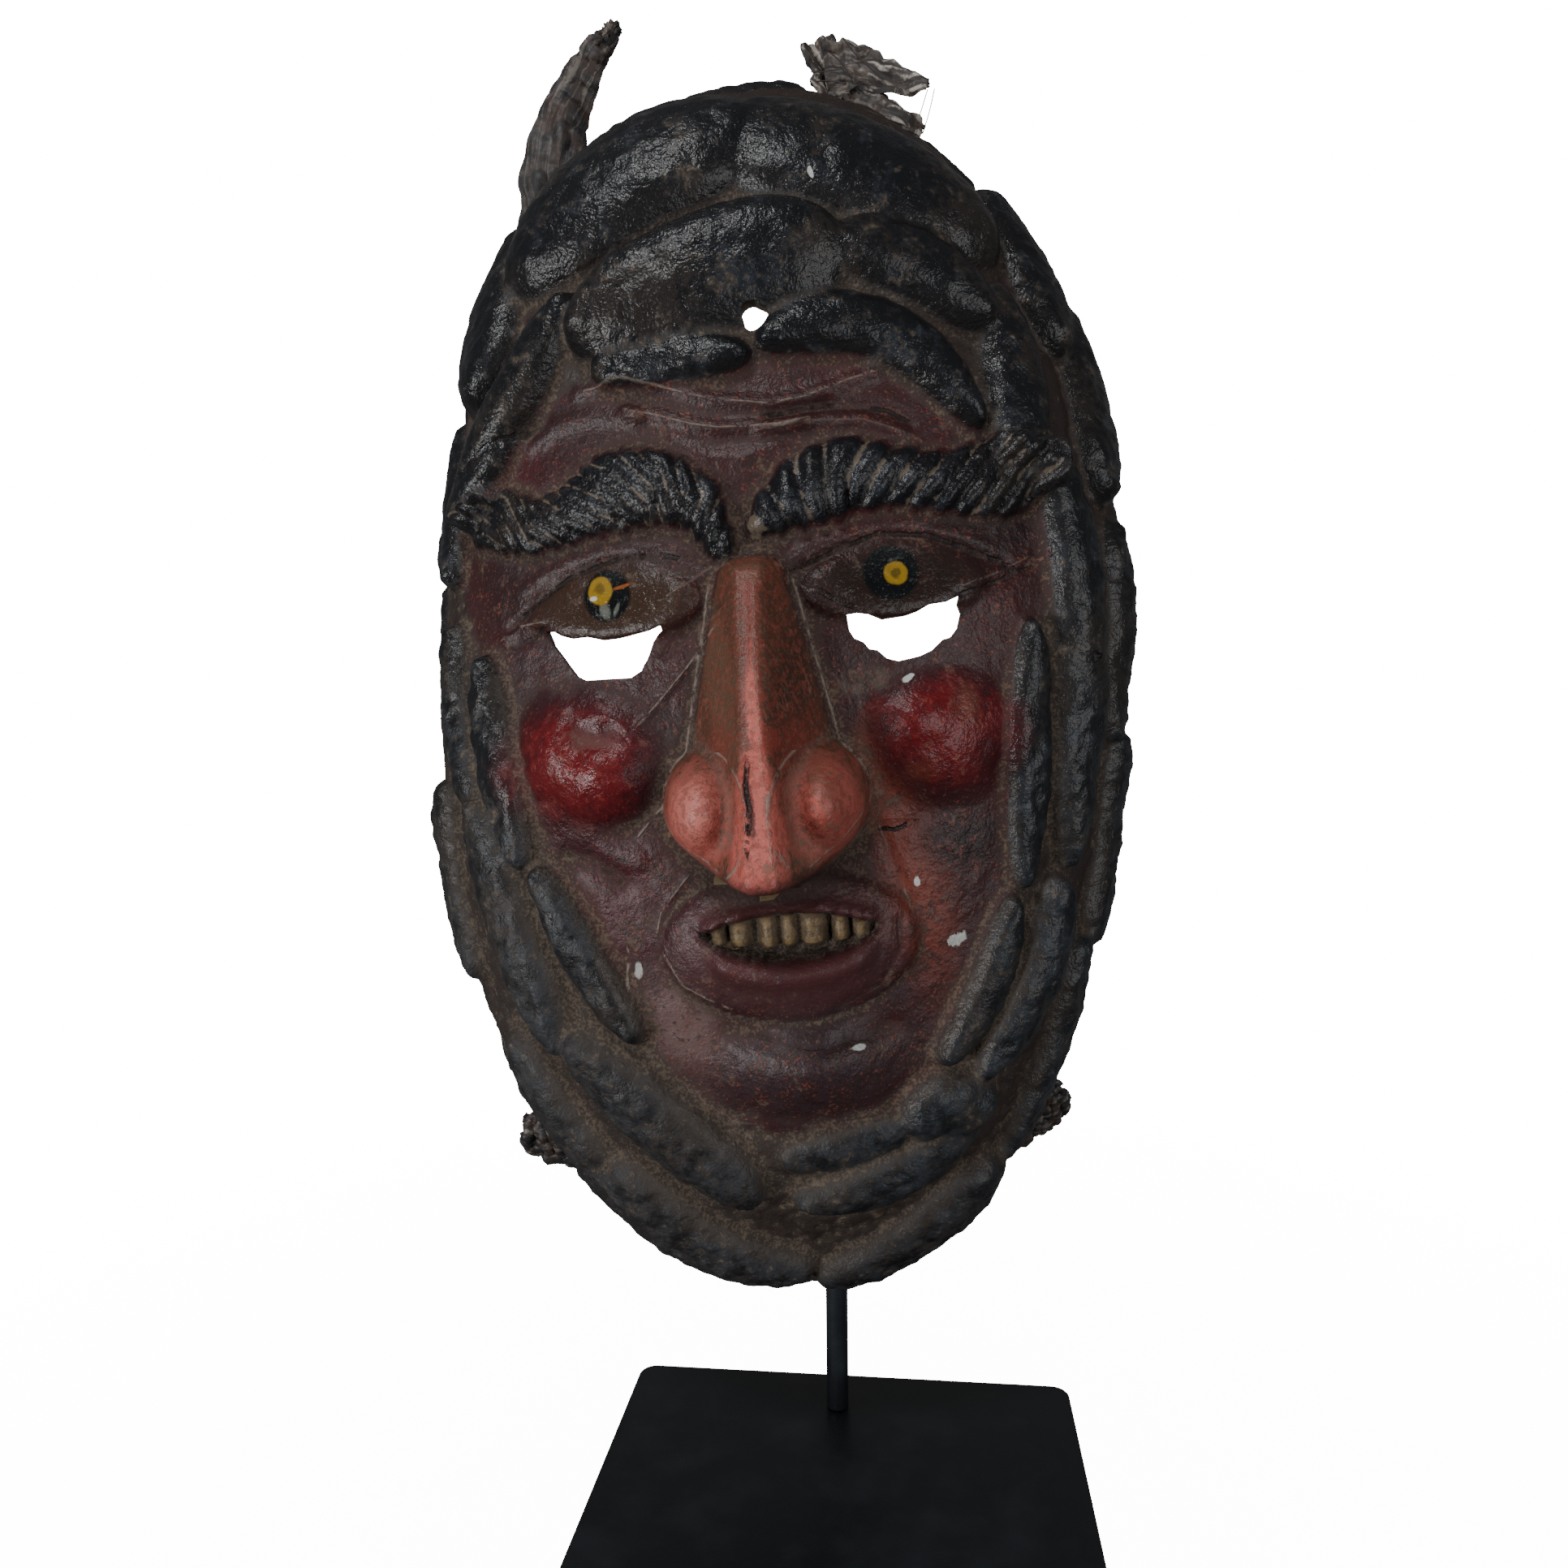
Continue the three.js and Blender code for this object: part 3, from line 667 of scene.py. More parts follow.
@dataclass(frozen=True)
class Eye:
    """A sunken socket, a bulging ball and the fold of the upper lid."""

    socket: Point = (33.0, 29.0)
    socket_size: Point = (30.0, 15.0)
    socket_depth: float = 7.0
    ball: Point = (32.5, 27.0)
    ball_size: Point = (22.5, 9.5)
    ball_height: float = 8.0
    lid_reach: Point = (24.0, 13.0)
    lid_height: float = 3.0

    def fields(self, x: Field, z: Field) -> tuple[Field, Field]:
        """Work out both eyes at places of the front view.

        Args:
            x: Places to the right.
            z: Places upwards.

        Returns:
            Height, and how far inside an eyeball a place is.
        """
        side = np.abs(x)
        socket = self.socket_depth * boss(side, z, self.socket, self.socket_size)
        q = np.hypot(
            (side - self.ball[0]) / self.ball_size[0], (z - self.ball[1]) / self.ball_size[1]
        )
        ball = self.ball_height * np.sqrt(np.clip(1.0 - q * q, 0.0, 1.0))
        ring = np.hypot(
            (side - self.ball[0]) / self.lid_reach[0], (z - 25.0) / self.lid_reach[1]
        )
        fold = np.exp(-(((ring - 1.0) * self.lid_reach[1] / 2.6) ** 2)) * ease(z, 25.0, 37.0)
        inside = np.clip(1.0 - q, 0.0, 1.0)
        return np.maximum(ball, self.lid_height * fold) - socket, inside


FACE_OUTLINE: Outline = (
    (6, 79), (25, 79), (37, 72), (50, 62), (64, 58), (71, 50), (72, 40), (70, 25), (64, 12),
    (60, -5), (58, -24), (56, -44), (50, -63), (43, -80), (34, -92), (24, -98), (14, -101),
    (-4, -103), (-19, -96), (-32, -79), (-40, -62), (-46, -44), (-54, -32), (-58, -12),
    (-62, 8), (-71, 22), (-75, 37), (-73, 53), (-64, 63), (-54, 73), (-40, 78), (-26, 79),
    (-9, 76),
)
# Height, middle, half-size and power of each boss and dent of the cheeks
CHEEK_BOSSES: tuple[tuple[float, Point, Point, float], ...] = (
    (5.5, (-44.0, -9.0), (22.0, 19.0), 1.2), (2.6, (-51.5, -4.0), (9.0, 14.0), 1.2),
    (2.4, (-37.0, -15.0), (14.0, 9.5), 1.2), (-1.5, (-38.5, -3.0), (10.0, 4.5), 1.3),
    (5.0, (42.0, -9.0), (20.0, 17.0), 1.3), (1.4, (36.0, -4.0), (9.0, 7.0), 1.3),
    (-3.2, (45.0, -33.0), (15.0, 8.0), 2.0),
)
CHEEK_RIM: Outline = ((-46, 4), (-41.5, 5), (-37, 3.8), (-32, 0), (-29, -4))


@dataclass(frozen=True)
class FaceRelief:
    """The whole face: how far it stands forward of the dome, and where its paints lie."""

    nose: Nose = Nose()
    mouth: Mouth = Mouth()
    eye: Eye = Eye()
    brows: tuple[Brow, ...] = BROWS
    lines: tuple[FaceLine, ...] = FACE_LINES
    line_reach: float = 2.2
    far: float = 6.0
    rim_height: float = 0.6
    rim_width: float = 1.7
    skin_reach: float = 9.0
    chin: Point = (6.0, -86.0)
    chin_size: Point = (28.0, 18.0)
    chin_height: float = 8.0
    cheek_paint: tuple[tuple[Point, Point], ...] = (
        ((-43.5, -9.5), (22.0, 19.0)), ((42.0, -8.0), (20.0, 17.0)),
    )

    def cheeks(self, x: Field, z: Field) -> Field:
        """Shape both cheeks, with the lobes, rim and dip of the one on the viewer's left.

        Args:
            x: Places to the right.
            z: Places upwards.

        Returns:
            Height in millimetres.
        """
        rim, _, _ = along_line(x, z, CHEEK_RIM)
        total = self.rim_height * np.exp(-((rim / self.rim_width) ** 2))
        for height, centre, size, power in CHEEK_BOSSES:
            total += height * boss(x, z, centre, size, power)
        return total

    def drawn_lines(self, x: Field, z: Field) -> dict[str, Field]:
        """Work out the lines drawn on the face.

        Args:
            x: Places to the right.
            z: Places upwards.

        Returns:
            rise in millimetres, and the signed distance to each ink and its strength.
        """
        made = {"rise": np.zeros(x.shape)}
        for ink in Ink:
            made[ink.value] = np.full(x.shape, self.far)
            made[ink.value + "_amount"] = np.zeros(x.shape)
        for line in self.lines:
            distance, _, side = along_line(x, z, line.points)
            made["rise"] += line.rise * np.exp(-((distance / line.width) ** 2))
            closer = distance < np.abs(made[line.ink.value])
            signed = np.where(side < 0.0, -distance, distance)
            made[line.ink.value] = np.where(closer, signed, made[line.ink.value])
            amount = line.strength * ease(distance, self.line_reach, 0.5)
            key = line.ink.value + "_amount"
            made[key] = np.maximum(made[key], amount)
        return made

    def fields(self, x: Field, z: Field) -> dict[str, Field]:
        """Work out the face at places of the front view.

        Args:
            x: Places to the right.
            z: Places upwards.

        Returns:
            rise in millimetres forward, millimetres from drawn lines and outlines, and a share
            from 0 to 1 for each paint.
        """
        nose = self.nose.fields(x, z)
        mouth = self.mouth.fields(x, z)
        eyes, ball = self.eye.fields(x, z)
        lines = self.drawn_lines(x, z)
        brow_rise, brow_in, strand = np.zeros(x.shape), np.zeros(x.shape), np.zeros(x.shape)
        for brow in self.brows:
            rise, inside, number = brow.fields(x, z)
            brow_rise = np.maximum(brow_rise, rise)
            strand = np.where(inside > brow_in, number, strand)
            brow_in = np.maximum(brow_in, inside)
        chin = self.chin_height * boss(x, z, self.chin, self.chin_size)
        rest = brow_rise + eyes + self.cheeks(x, z) + chin + mouth["rise"]
        rise = np.maximum(nose["rise"], rest)
        nose_in = ease(nose["rise"] - rest, -1.0, 1.5) * ease(nose["rise"], 2.0, 4.0)
        edge = np.where(z < 30.0, nose["edge"], self.far)
        pale_edge = np.abs(edge) < np.abs(lines["pale"])
        pale = np.where(pale_edge, np.clip(edge, -self.far, self.far), lines["pale"])
        near_edge = 0.75 * ease(np.abs(edge), self.line_reach, 0.5)
        cheek = np.maximum(*(boss(x, z, *oval, 0.8) for oval in self.cheek_paint))
        skin = np.clip(inside_outline(x, z, FACE_OUTLINE), -self.skin_reach, self.skin_reach)
        return {
            "rise": rise + lines["rise"], "skin": skin,
            "brow": brow_in, "strand": strand, "nose": nose_in, "wing": nose["wing"],
            "ridge": nose["ridge"], "cheek": cheek, "eye": ball, "tooth": mouth["tooth"],
            "gape": mouth["gape"], "lip": mouth["lip"], "pale": pale,
            "pale_amount": np.maximum(lines["pale_amount"], near_edge), "dark": lines["dark"],
            "dark_amount": lines["dark_amount"],
        }


# The mask


SIGHT_CUTS: tuple[Outline, ...] = (
    (
        (-49.3, 22.3), (-47.6, 22.3), (-45.6, 20.9), (-43.3, 20.1), (-39.3, 20.1), (-35.4, 19.0),
        (-31.5, 19.1), (-27.5, 19.7), (-24.4, 20.2), (-22.0, 21.0), (-21.0, 21.1), (-20.9, 19.8),
        (-22.0, 19.0), (-23.4, 17.5), (-24.2, 15.5), (-25.2, 13.5), (-26.1, 12.4), (-26.7, 11.2),
        (-29.4, 9.8), (-35.4, 10.0), (-40.9, 10.1), (-42.9, 11.2), (-44.8, 13.9), (-46.4, 16.3),
        (-48.4, 19.0),
    ),
    (
        (21.0, 20.4), (23.5, 20.6), (26.0, 20.2), (29.0, 18.8), (34.0, 19.2), (37.0, 20.0),
        (40.0, 21.4), (44.0, 21.8), (47.0, 23.0), (46.4, 21.0), (47.2, 19.0), (46.2, 15.6),
        (44.4, 13.6), (42.6, 13.2), (40.0, 11.0), (37.0, 9.8), (32.0, 9.0), (29.5, 9.8),
        (27.4, 11.8), (25.6, 12.2), (24.4, 13.8), (22.4, 14.8), (21.4, 16.6),
    ),
)


def round_outline(centre: Point, radius: float, wobble: float, corners: int = 22) -> Outline:
    """Outline of an uneven round hole.

    Args:
        centre: Middle of the hole.
        radius: Its mean radius.
        wobble: How far the edge strays from the circle.
        corners: Number of corners.

    Returns:
        The corners in order.
    """
    made = []
    for i in range(corners):
        angle = 2.0 * math.pi * i / corners
        reach = radius + wobble * (math.sin(3.0 * angle + 1.0) + 0.6 * math.sin(5.0 * angle))
        made.append((centre[0] + reach * math.cos(angle), centre[1] + reach * math.sin(angle)))
    return tuple(made)


# The hole in the crown, then the two tie holes at the sides
ROUND_CUTS: tuple[Outline, ...] = (
    round_outline((5.0, 89.0), 3.0, 0.25),
    round_outline((80.0, 7.0), 1.2, 0.15),
    round_outline((-83.5, 2.0), 1.1, 0.15),
)


def deselect_all() -> None:
    """Leave object mode with nothing selected."""
    if bpy.context.object is not None and bpy.context.object.mode != "OBJECT":
        bpy.ops.object.mode_set(mode="OBJECT")
    bpy.ops.object.select_all(action="DESELECT")


def make_active(piece: Piece) -> None:
    """Select one piece alone and make it active."""
    deselect_all()
    piece.select_set(True)
    bpy.context.view_layer.objects.active = piece


def name_piece(piece: Piece, name: str) -> Piece:
    """Name a piece and its mesh."""
    piece.name = piece.data.name = name
    return piece


def edit_all(piece: Piece, *steps: Callable[[], Any]) -> None:
    """Run steps on a piece's whole mesh in edit mode.

    Args:
        piece: The piece.
        steps: Each runs with everything selected.
    """
    make_active(piece)
    bpy.ops.object.mode_set(mode="EDIT")
    for step in steps:
        bpy.ops.mesh.select_all(action="SELECT")
        step()
    bpy.ops.object.mode_set(mode="OBJECT")


def smooth(piece: Piece, degrees: float) -> Piece:
    """Shade a piece smooth wherever its faces meet at less than an angle."""
    make_active(piece)
    bpy.ops.object.shade_smooth_by_angle(angle=math.radians(degrees))
    return piece


def join_pieces(parts: Sequence[Piece]) -> Piece:
    """Join parts into the first one.

    Args:
        parts: The parts in order.

    Returns:
        The joined piece.
    """
    make_active(parts[0])
    for part in parts:
        part.select_set(True)
    bpy.ops.object.join()
    return bpy.context.object


def read_points(mesh: bpy.types.Mesh) -> Field:
    """All vertex places of a mesh, one row each."""
    values = np.zeros(len(mesh.vertices) * 3)
    mesh.vertices.foreach_get("co", values)
    return values.reshape(-1, 3)


def write_points(mesh: bpy.types.Mesh, points: Field) -> None:
    """Put the vertices of a mesh at new places."""
    mesh.vertices.foreach_set("co", np.ascontiguousarray(points, dtype=np.float32).ravel())
    mesh.update()


def write_field(mesh: bpy.types.Mesh, name: str, values: Field) -> None:
    """Store one number for each vertex under a name."""
    layer = mesh.attributes.get(name) or mesh.attributes.new(name, "FLOAT", "POINT")
    layer.data.foreach_set("value", np.ascontiguousarray(values, dtype=np.float32).ravel())


def read_field(mesh: bpy.types.Mesh, name: str) -> Field:
    """Read one number for each vertex stored under a name."""
    values = np.zeros(len(mesh.vertices))
    mesh.attributes[name].data.foreach_get("value", values)
    return values


def add_grid(name: str, columns: int, rows: int) -> tuple[Piece, Field, Field]:
    """Add a flat grid from -1 to 1 as a new piece.

    Args:
        name: Name of the piece.
        columns: Faces across.
        rows: Faces upwards.

    Returns:
        The piece, and the places across and upwards of its vertices.
    """
    deselect_all()
    bpy.ops.mesh.primitive_grid_add(x_subdivisions=columns, y_subdivisions=rows, size=2.0)
    piece = name_piece(bpy.context.object, name)
    points = read_points(piece.data)
    return piece, points[:, 0], points[:, 1]


def apply_modifier(piece: Piece, kind: str, **settings: Any) -> None:
    """Add a modifier to a piece and apply it.

    Args:
        piece: The piece.
        kind: The modifier's type.
        settings: Its properties.
    """
    make_active(piece)
    modifier = piece.modifiers.new(kind.lower(), kind)
    for key, value in settings.items():
        setattr(modifier, key, value)
    bpy.ops.object.modifier_apply(modifier=modifier.name)


@dataclass(frozen=True)
class Web:
    """The hide between the locks, which the hair paint and its own thickness fill up."""

    low: float = 2.0
    near_rim: float = 3.8
    rim_from: float = 0.7
    rim_to: float = 0.92

    def height(self, share: Field, skin: Field) -> Field:
        """Height between the locks for a share of the way to the rim and a distance from the face."""
        rim = self.near_rim * ease(share, self.rim_from, self.rim_to)
        return np.maximum(rim, self.low * ease(skin, 1.0, -7.0))


@dataclass
class MaskShell:
    """The hide shell: outer and inner skin joined round the rim, with the holes cut through."""

    hang: Hang
    dome: Dome
    hair: HairRelief
    face: FaceRelief
    web: Web = Web()
    columns: int = 246
    rows: int = 378
    inner_columns: int = 48
    inner_rows: int = 74
    lock_hollow: float = 0.55
    thickest: float = 2.5
    cut_length: float = 170.0
    cut_start: float = -20.0
    dents: tuple[tuple[float, float, float, int], ...] = ((0.9, 19.0, 3.1, 1), (0.5, 8.0, 8.7, 2))
    grain: float = 0.35
    creases: float = 0.5
    rib_height: float = 0.22
    rib_pitch: float = 3.4
    rib_wander: float = 2.5
    near_passes: int = 10
    far_passes: int = 60
    crease_degrees: float = 75.0

    def place(self, across: Field, up: Field) -> tuple[Field, Field]:
        """Direction and share on the dome for places of the unit square."""
        x = across * np.sqrt(1.0 - up * up / 2.0)
        y = up * np.sqrt(1.0 - across * across / 2.0)
        return self.dome.disc(x, y)

    def inner_skin(self, across: Field, up: Field) -> Field:
        """Shape the plain skin on the wearer's side.

        Args:
            across: Places from -1 to 1 to the right.
            up: Places from -1 to 1 upwards.

        Returns:
            Points in the shared frame.
        """
        angle, share = self.place(across, up)
        base = self.dome.point(angle, share)
        face = self.face.fields(base[:, 0], base[:, 2])
        hair = self.hair.fields(*self.dome.chart(angle, share))["height"]
        hair = np.maximum(hair, self.web.height(share, face["skin"]))
        rise = self.lock_hollow * hair - self.dome.wall
        point = base + self.dome.normal(angle, share) * rise[:, None]
        right = self.face.fields(base[:, 0] + 1.0, base[:, 2])["rise"] - face["rise"]
        above = self.face.fields(base[:, 0], base[:, 2] + 1.0)["rise"] - face["rise"]
        slope = np.hypot(right, above)
        thick = np.minimum(np.hypot(1.0, slope), self.thickest) - 1.0
        point[:, 1] += face["rise"] - self.dome.wall * thick
        return self.hang.to_frame(point)

    def outer_skin(self, across: Field, up: Field) -> tuple[Field, dict[str, Field]]:
        """Shape the painted skin.

        Args:
            across: Places from -1 to 1 to the right.
            up: Places from -1 to 1 upwards.

        Returns:
            Points in the shared frame, and the fields that the paints read.
        """
        i = np.rint((across + 1.0) / 2.0 * self.columns).astype(int)
        j = np.rint((up + 1.0) / 2.0 * self.rows).astype(int)
        angle, share = self.place(across, up)
        base = self.dome.point(angle, share)
        u, v = self.dome.chart(angle, share)
        fields = self.face.fields(base[:, 0], base[:, 2])
        hair = self.hair.fields(u, v)
        height = np.maximum(hair["height"], self.web.height(share, fields["skin"]))
        height = self.on_grid(height, i, j, 2)[j, i]
        outside = ease(fields["skin"], 2.0, -4.0)
        dents = sum(high * lumps(u, v, *rest) for high, *rest in self.dents)
        fine = self.grain * lumps(u, v, 3.6, 5.2, 2)
        fine -= self.creases * np.abs(lumps(u, v, 5.0, 4.4, 2))
        turns = hair["run"] * 2.0 * math.pi / self.rib_pitch
        ribs = self.rib_height * np.sin(turns + self.rib_wander * lumps(u, v, 10.0, 1.3))
        ribs *= ease(hair["near"], 0.0, 0.2) * ease(hair["near"], 0.6, 0.25)
        ribs *= ease(lumps(u, v, 26.0, 6.6), -0.1, 0.25)
        calm = (1.0 - 0.6 * fields["nose"]) * (1.0 - 0.45 * ease(v, 45.0, 80.0))
        rise = height + ribs + (dents * (0.5 + 0.5 * outside) + fine * (0.5 + 0.9 * outside)) * calm
        point = base + self.dome.normal(angle, share) * rise[:, None]
        relief = self.on_grid(rise + fields["rise"], i, j, 0)
        small = relief - blurred(relief, self.near_passes)
        large = relief - blurred(relief, self.far_passes)
        dip = np.clip(-small / 0.6, 0.0, 1.0) * 0.55 + np.clip(-large / 2.4, 0.0, 1.0) * 0.6
        crest = np.clip(small / 0.5, 0.0, 1.0) * 0.6 + np.clip(large / 2.0, 0.0, 1.0) * 0.45
        fields.update(
            front_x=base[:, 0], front_z=base[:, 2], hair=hair["near"],
            dip=np.clip(dip, 0.0, 1.0)[j, i], crest=np.clip(crest, 0.0, 1.0)[j, i],
        )
        point[:, 1] += fields.pop("rise")
        return self.hang.to_frame(point), fields

    def on_grid(self, values: Field, i: Field, j: Field, passes: int) -> Field:
        """Lay the values of the vertices out in rows and columns and soften them.

        Args:
            values: One number for each vertex.
            i: Column of each vertex.
            j: Row of each vertex.
            passes: How often to soften.

        Returns:
            The grid of numbers.
        """
        grid = np.zeros((self.rows + 1, self.columns + 1))
        grid[j, i] = values
        return blurred(grid, passes)

    def cutter(self, cuts: Sequence[Outline]) -> Piece:
        """Make one closed cutter that runs out through the face at each cut.

        Args:
            cuts: Outlines of the cuts in the front view.

        Returns:
            The cutter.
        """
        forward = tuple(self.hang.matrix() @ np.array([0.0, -self.cut_length * MM, 0.0]))
        extrude = partial(bpy.ops.mesh.extrude_region_move, TRANSFORM_OT_translate={"value": forward})
        pieces = []
        for cut in cuts:
            deselect_all()
            bpy.ops.mesh.primitive_circle_add(vertices=len(cut), radius=1.0, fill_type="NGON")
            pieces.append(bpy.context.object)
            x, z = np.array(cut).T
            flat = np.column_stack([x, np.full(len(cut), self.cut_start), z])
            write_points(pieces[-1].data, self.hang.to_frame(flat))
            edit_all(pieces[-1], extrude, bpy.ops.mesh.normals_make_consistent)
        return join_pieces(pieces)

    def cut_through(self, mask: Piece, cuts: Sequence[Outline]) -> None:
        """Cut the holes and give the new edges the fields of the skin beside them.

        Args:
            mask: The mask.
            cuts: Outlines of the cuts in the front view.
        """
        names = [layer.name for layer in mask.data.attributes if layer.data_type == "FLOAT"]
        before = read_points(mask.data)
        values = {name: read_field(mask.data, name) for name in names}
        tree = kdtree.KDTree(len(before))
        for index, place in enumerate(before):
            tree.insert(place, index)
        tree.balance()
        cutter = self.cutter(cuts)
        apply_modifier(mask, "BOOLEAN", operation="DIFFERENCE", object=cutter, solver="EXACT")
        bpy.data.objects.remove(cutter)
        nearest = np.array([tree.find(place)[1] for place in read_points(mask.data)])
        for name in names:
            write_field(mask.data, name, values[name][nearest])

    def build(self) -> Piece:
        """Make the mask's mesh with its fields and holes.

        Returns:
            The finished piece.
        """
        outer, across, up = add_grid("painted_hide_mask", self.columns, self.rows)
        points, fields = self.outer_skin(across, up)
        write_points(outer.data, points)
        for name, values in fields.items():
            write_field(outer.data, name, values)
        write_field(outer.data, "inside", np.zeros(len(points)))
        inner, across, up = add_grid("lining", self.inner_columns, self.inner_rows)
        write_points(inner.data, self.inner_skin(across, up))
        write_field(inner.data, "inside", np.ones(len(across)))
        self.turn_skin(outer, forward=True)
        self.turn_skin(inner, forward=False)
        join_pieces((outer, inner))
        bpy.ops.object.mode_set(mode="EDIT")
        bpy.ops.mesh.select_mode(type="EDGE")
        bpy.ops.mesh.select_all(action="DESELECT")
        bpy.ops.mesh.select_non_manifold()
        bpy.ops.mesh.bridge_edge_loops()
        bpy.ops.object.mode_set(mode="OBJECT")
        self.cut_through(outer, (*SIGHT_CUTS, *ROUND_CUTS))
        return smooth(outer, self.crease_degrees)

    def turn_skin(self, skin: Piece, forward: bool) -> None:
        """Turn a skin's faces if they look the wrong way.

        Args:
            skin: The outer or inner skin.
            forward: Whether its faces are to look at the viewer.
        """
        normals = np.zeros(len(skin.data.polygons) * 3)
        skin.data.polygons.foreach_get("normal", normals)
        if (normals.reshape(-1, 3)[:, 1].mean() < 0.0) != forward:
            edit_all(skin, bpy.ops.mesh.flip_normals)


# The limb flaps


class Surface(Enum):
    """How a flap's hide has dried."""

    SCALY = "scaly"
    FOLDED = "folded"
    KNOBBLY = "knobbly"


@dataclass(frozen=True)
class Flap:
    """A limb flap: a strip of hide with places (right, up, out) and half-widths."""

    name: str
    path: tuple[Triple, ...]
    widths: tuple[float, ...]
    side: Triple
    surface: Surface
    curl: float = 0.0
    thickness: float = 2.4
    columns: int = 34
    rows: int = 64
    relief_length: float = 60.0
    crease_degrees: float = 70.0

    def spine(self, t: Field) -> tuple[Field, Field]:
        """Points and half-widths along the strip.

        Args:
            t: Shares of the way along, from 0 to 1.

        Returns:
            Rows of right, out and up, and the half-width of each.
        """
        places = np.array([(x, out, z) for x, z, out in self.path], float)
        steps = np.linspace(0.0, 1.0, len(places))
        fine = np.linspace(0.0, 1.0, 81)
        curve = np.stack([np.interp(fine, steps, places[:, k]) for k in range(3)], axis=1)
        widths = np.interp(fine, steps, np.array(self.widths))
        for _ in range(30):
            curve[1:-1] = 0.5 * curve[1:-1] + 0.25 * (curve[2:] + curve[:-2])
            widths[1:-1] = 0.5 * widths[1:-1] + 0.25 * (widths[2:] + widths[:-2])
        spots = np.stack([np.interp(t, fine, curve[:, k]) for k in range(3)], axis=-1)
        return spots, np.interp(t, fine, widths)

    def relief(self, across: Field, t: Field, width: Field, seed: float) -> Field:
        """Work out how far the dried hide stands off the flat strip.

        Args:
            across: Places from -1 to 1 across the strip.
            t: Shares of the way along it.
            width: Half-width of the strip there.
            seed: Shifts the pattern.

        Returns:
            Height in millimetres.
        """
        x, z = across * width, t * self.relief_length
        lumpy = 0.9 * lumps(x, z, 6.0, seed, 2)
        if self.surface is Surface.FOLDED:
            wave = np.sin(x * 0.9 + 2.8 * lumps(x, z, 16.0, seed + 5.0))
            return 0.25 * lumpy + 1.5 * wave + 0.25 * np.sin(x * 2.6 + z * 0.2)
        if self.surface is Surface.SCALY:
            scales = np.clip(lumps(x, z, 3.2, seed + 3.0), -0.1, 1.0)
            return lumpy + 2.2 * scales + 0.5 * np.abs(np.sin(z * 1.1 + x * 0.3))
        knobs = lumps(x, z, 3.4, seed + 9.0, 2)
        return 1.5 * lumpy + 1.5 * np.clip(knobs, -0.3, 1.0)

    def build(self, hang: Hang) -> Piece:
        """Make the flap's mesh.

        Args:
            hang: Where the mask hangs.

        Returns:
            The finished piece.
        """
        piece, a, b = add_grid(self.name, self.columns, self.rows)
        t = (b + 1.0) / 2.0
        seed = 11.3 + len(self.name) * 1.7 + self.path[0][0] * 0.13
        ragged = 0.035 * lumps(a * 3.0, a * 0.0, 0.5, seed, 2) * ease(t, 0.75, 1.0)
        spots, width = self.spine(np.clip(t + ragged, 0.0, 1.0))
        ahead, _ = self.spine(np.clip(t + 0.02, 0.0, 1.0))
        behind, _ = self.spine(np.clip(t - 0.02, 0.0, 1.0))
        run = ahead - behind
        run /= np.linalg.norm(run, axis=1, keepdims=True)
        side = np.array([self.side[0], -self.side[1], self.side[2]])
        across = side - run * (run @ side)[:, None]
        across /= np.linalg.norm(across, axis=1, keepdims=True)
        facing = np.cross(across, run)
        facing *= np.sign(facing[:, 1:2] + 1e-6)
        ragged_edge = 0.20 if self.surface is Surface.FOLDED else 0.16
        edge = 1.0 + ragged_edge * lumps(t * 60.0, np.sign(a) * 9.0, 5.0, seed + 2.0, 2)
        bend = self.curl * width * (a**2)
        height = self.relief(a, t, width, seed) * (1.0 - 0.4 * np.abs(a)) + bend
        reach = a * width * edge
        place = spots + across * reach[:, None] + facing * height[:, None]
        write_points(piece.data, hang.to_frame(place))
        write_field(piece.data, "tip", t)
        write_field(piece.data, "across", a * width)
        apply_modifier(piece, "SOLIDIFY", thickness=self.thickness * MM, offset=0.0)
        edit_all(piece, bpy.ops.mesh.normals_make_consistent)
        return smooth(piece, self.crease_degrees)


FLAPS: tuple[Flap, ...] = (
    Flap(
        "flap_upper_left",
        ((-48, 134, 8), (-49, 146, 7), (-46, 160, 5), (-40, 171, 4), (-34, 179, 5), (-28, 183, 7)),
        (10, 8.5, 6.5, 4.6, 3.2, 1.2), (1.0, 0.2, 0.25), Surface.SCALY, -0.25,
    ),
    Flap(
        "flap_upper_right",
        ((37, 145, 8), (35, 151, 7), (31, 158, 5), (28, 167, 3), (24, 176, 2)),
        (10, 9, 8, 7, 4.5), (1.0, 0.3, 0.2), Surface.FOLDED, 0.2, 1.6,
    ),
    Flap(
        "flap_upper_right_torn",
        ((26, 164, 6), (33, 164.5, 7), (42, 160.5, 9), (52, 157.5, 10)),
        (9, 7.5, 4.5, 1), (-0.2, 0.3, 1.0), Surface.FOLDED, 0.3, 1.2,
    ),
    Flap(
        "flap_upper_right_fringe",
        ((31, 158, 10), (38, 154, 11), (45, 150, 11), (50, 147, 10)),
        (3.5, 4, 3, 1.2), (0.3, 0.6, 0.8), Surface.FOLDED, 0.15, 1.2,
    ),
    Flap(
        "flap_lower_left",
        ((-60, -112, 7), (-66, -117, 4), (-73, -118, 2), (-82, -116, 1)),
        (12, 11, 9.5, 5.5), (0.4, 0.2, -1.0), Surface.KNOBBLY, -0.15,
    ),
    Flap(
        "flap_lower_right",
        ((52, -116, 7), (60, -119, 4), (66, -117, 2), (73, -113, 1)),
        (12, 11, 9.5, 5), (0.5, -0.2, 1.0), Surface.KNOBBLY, -0.15,
    ),
)


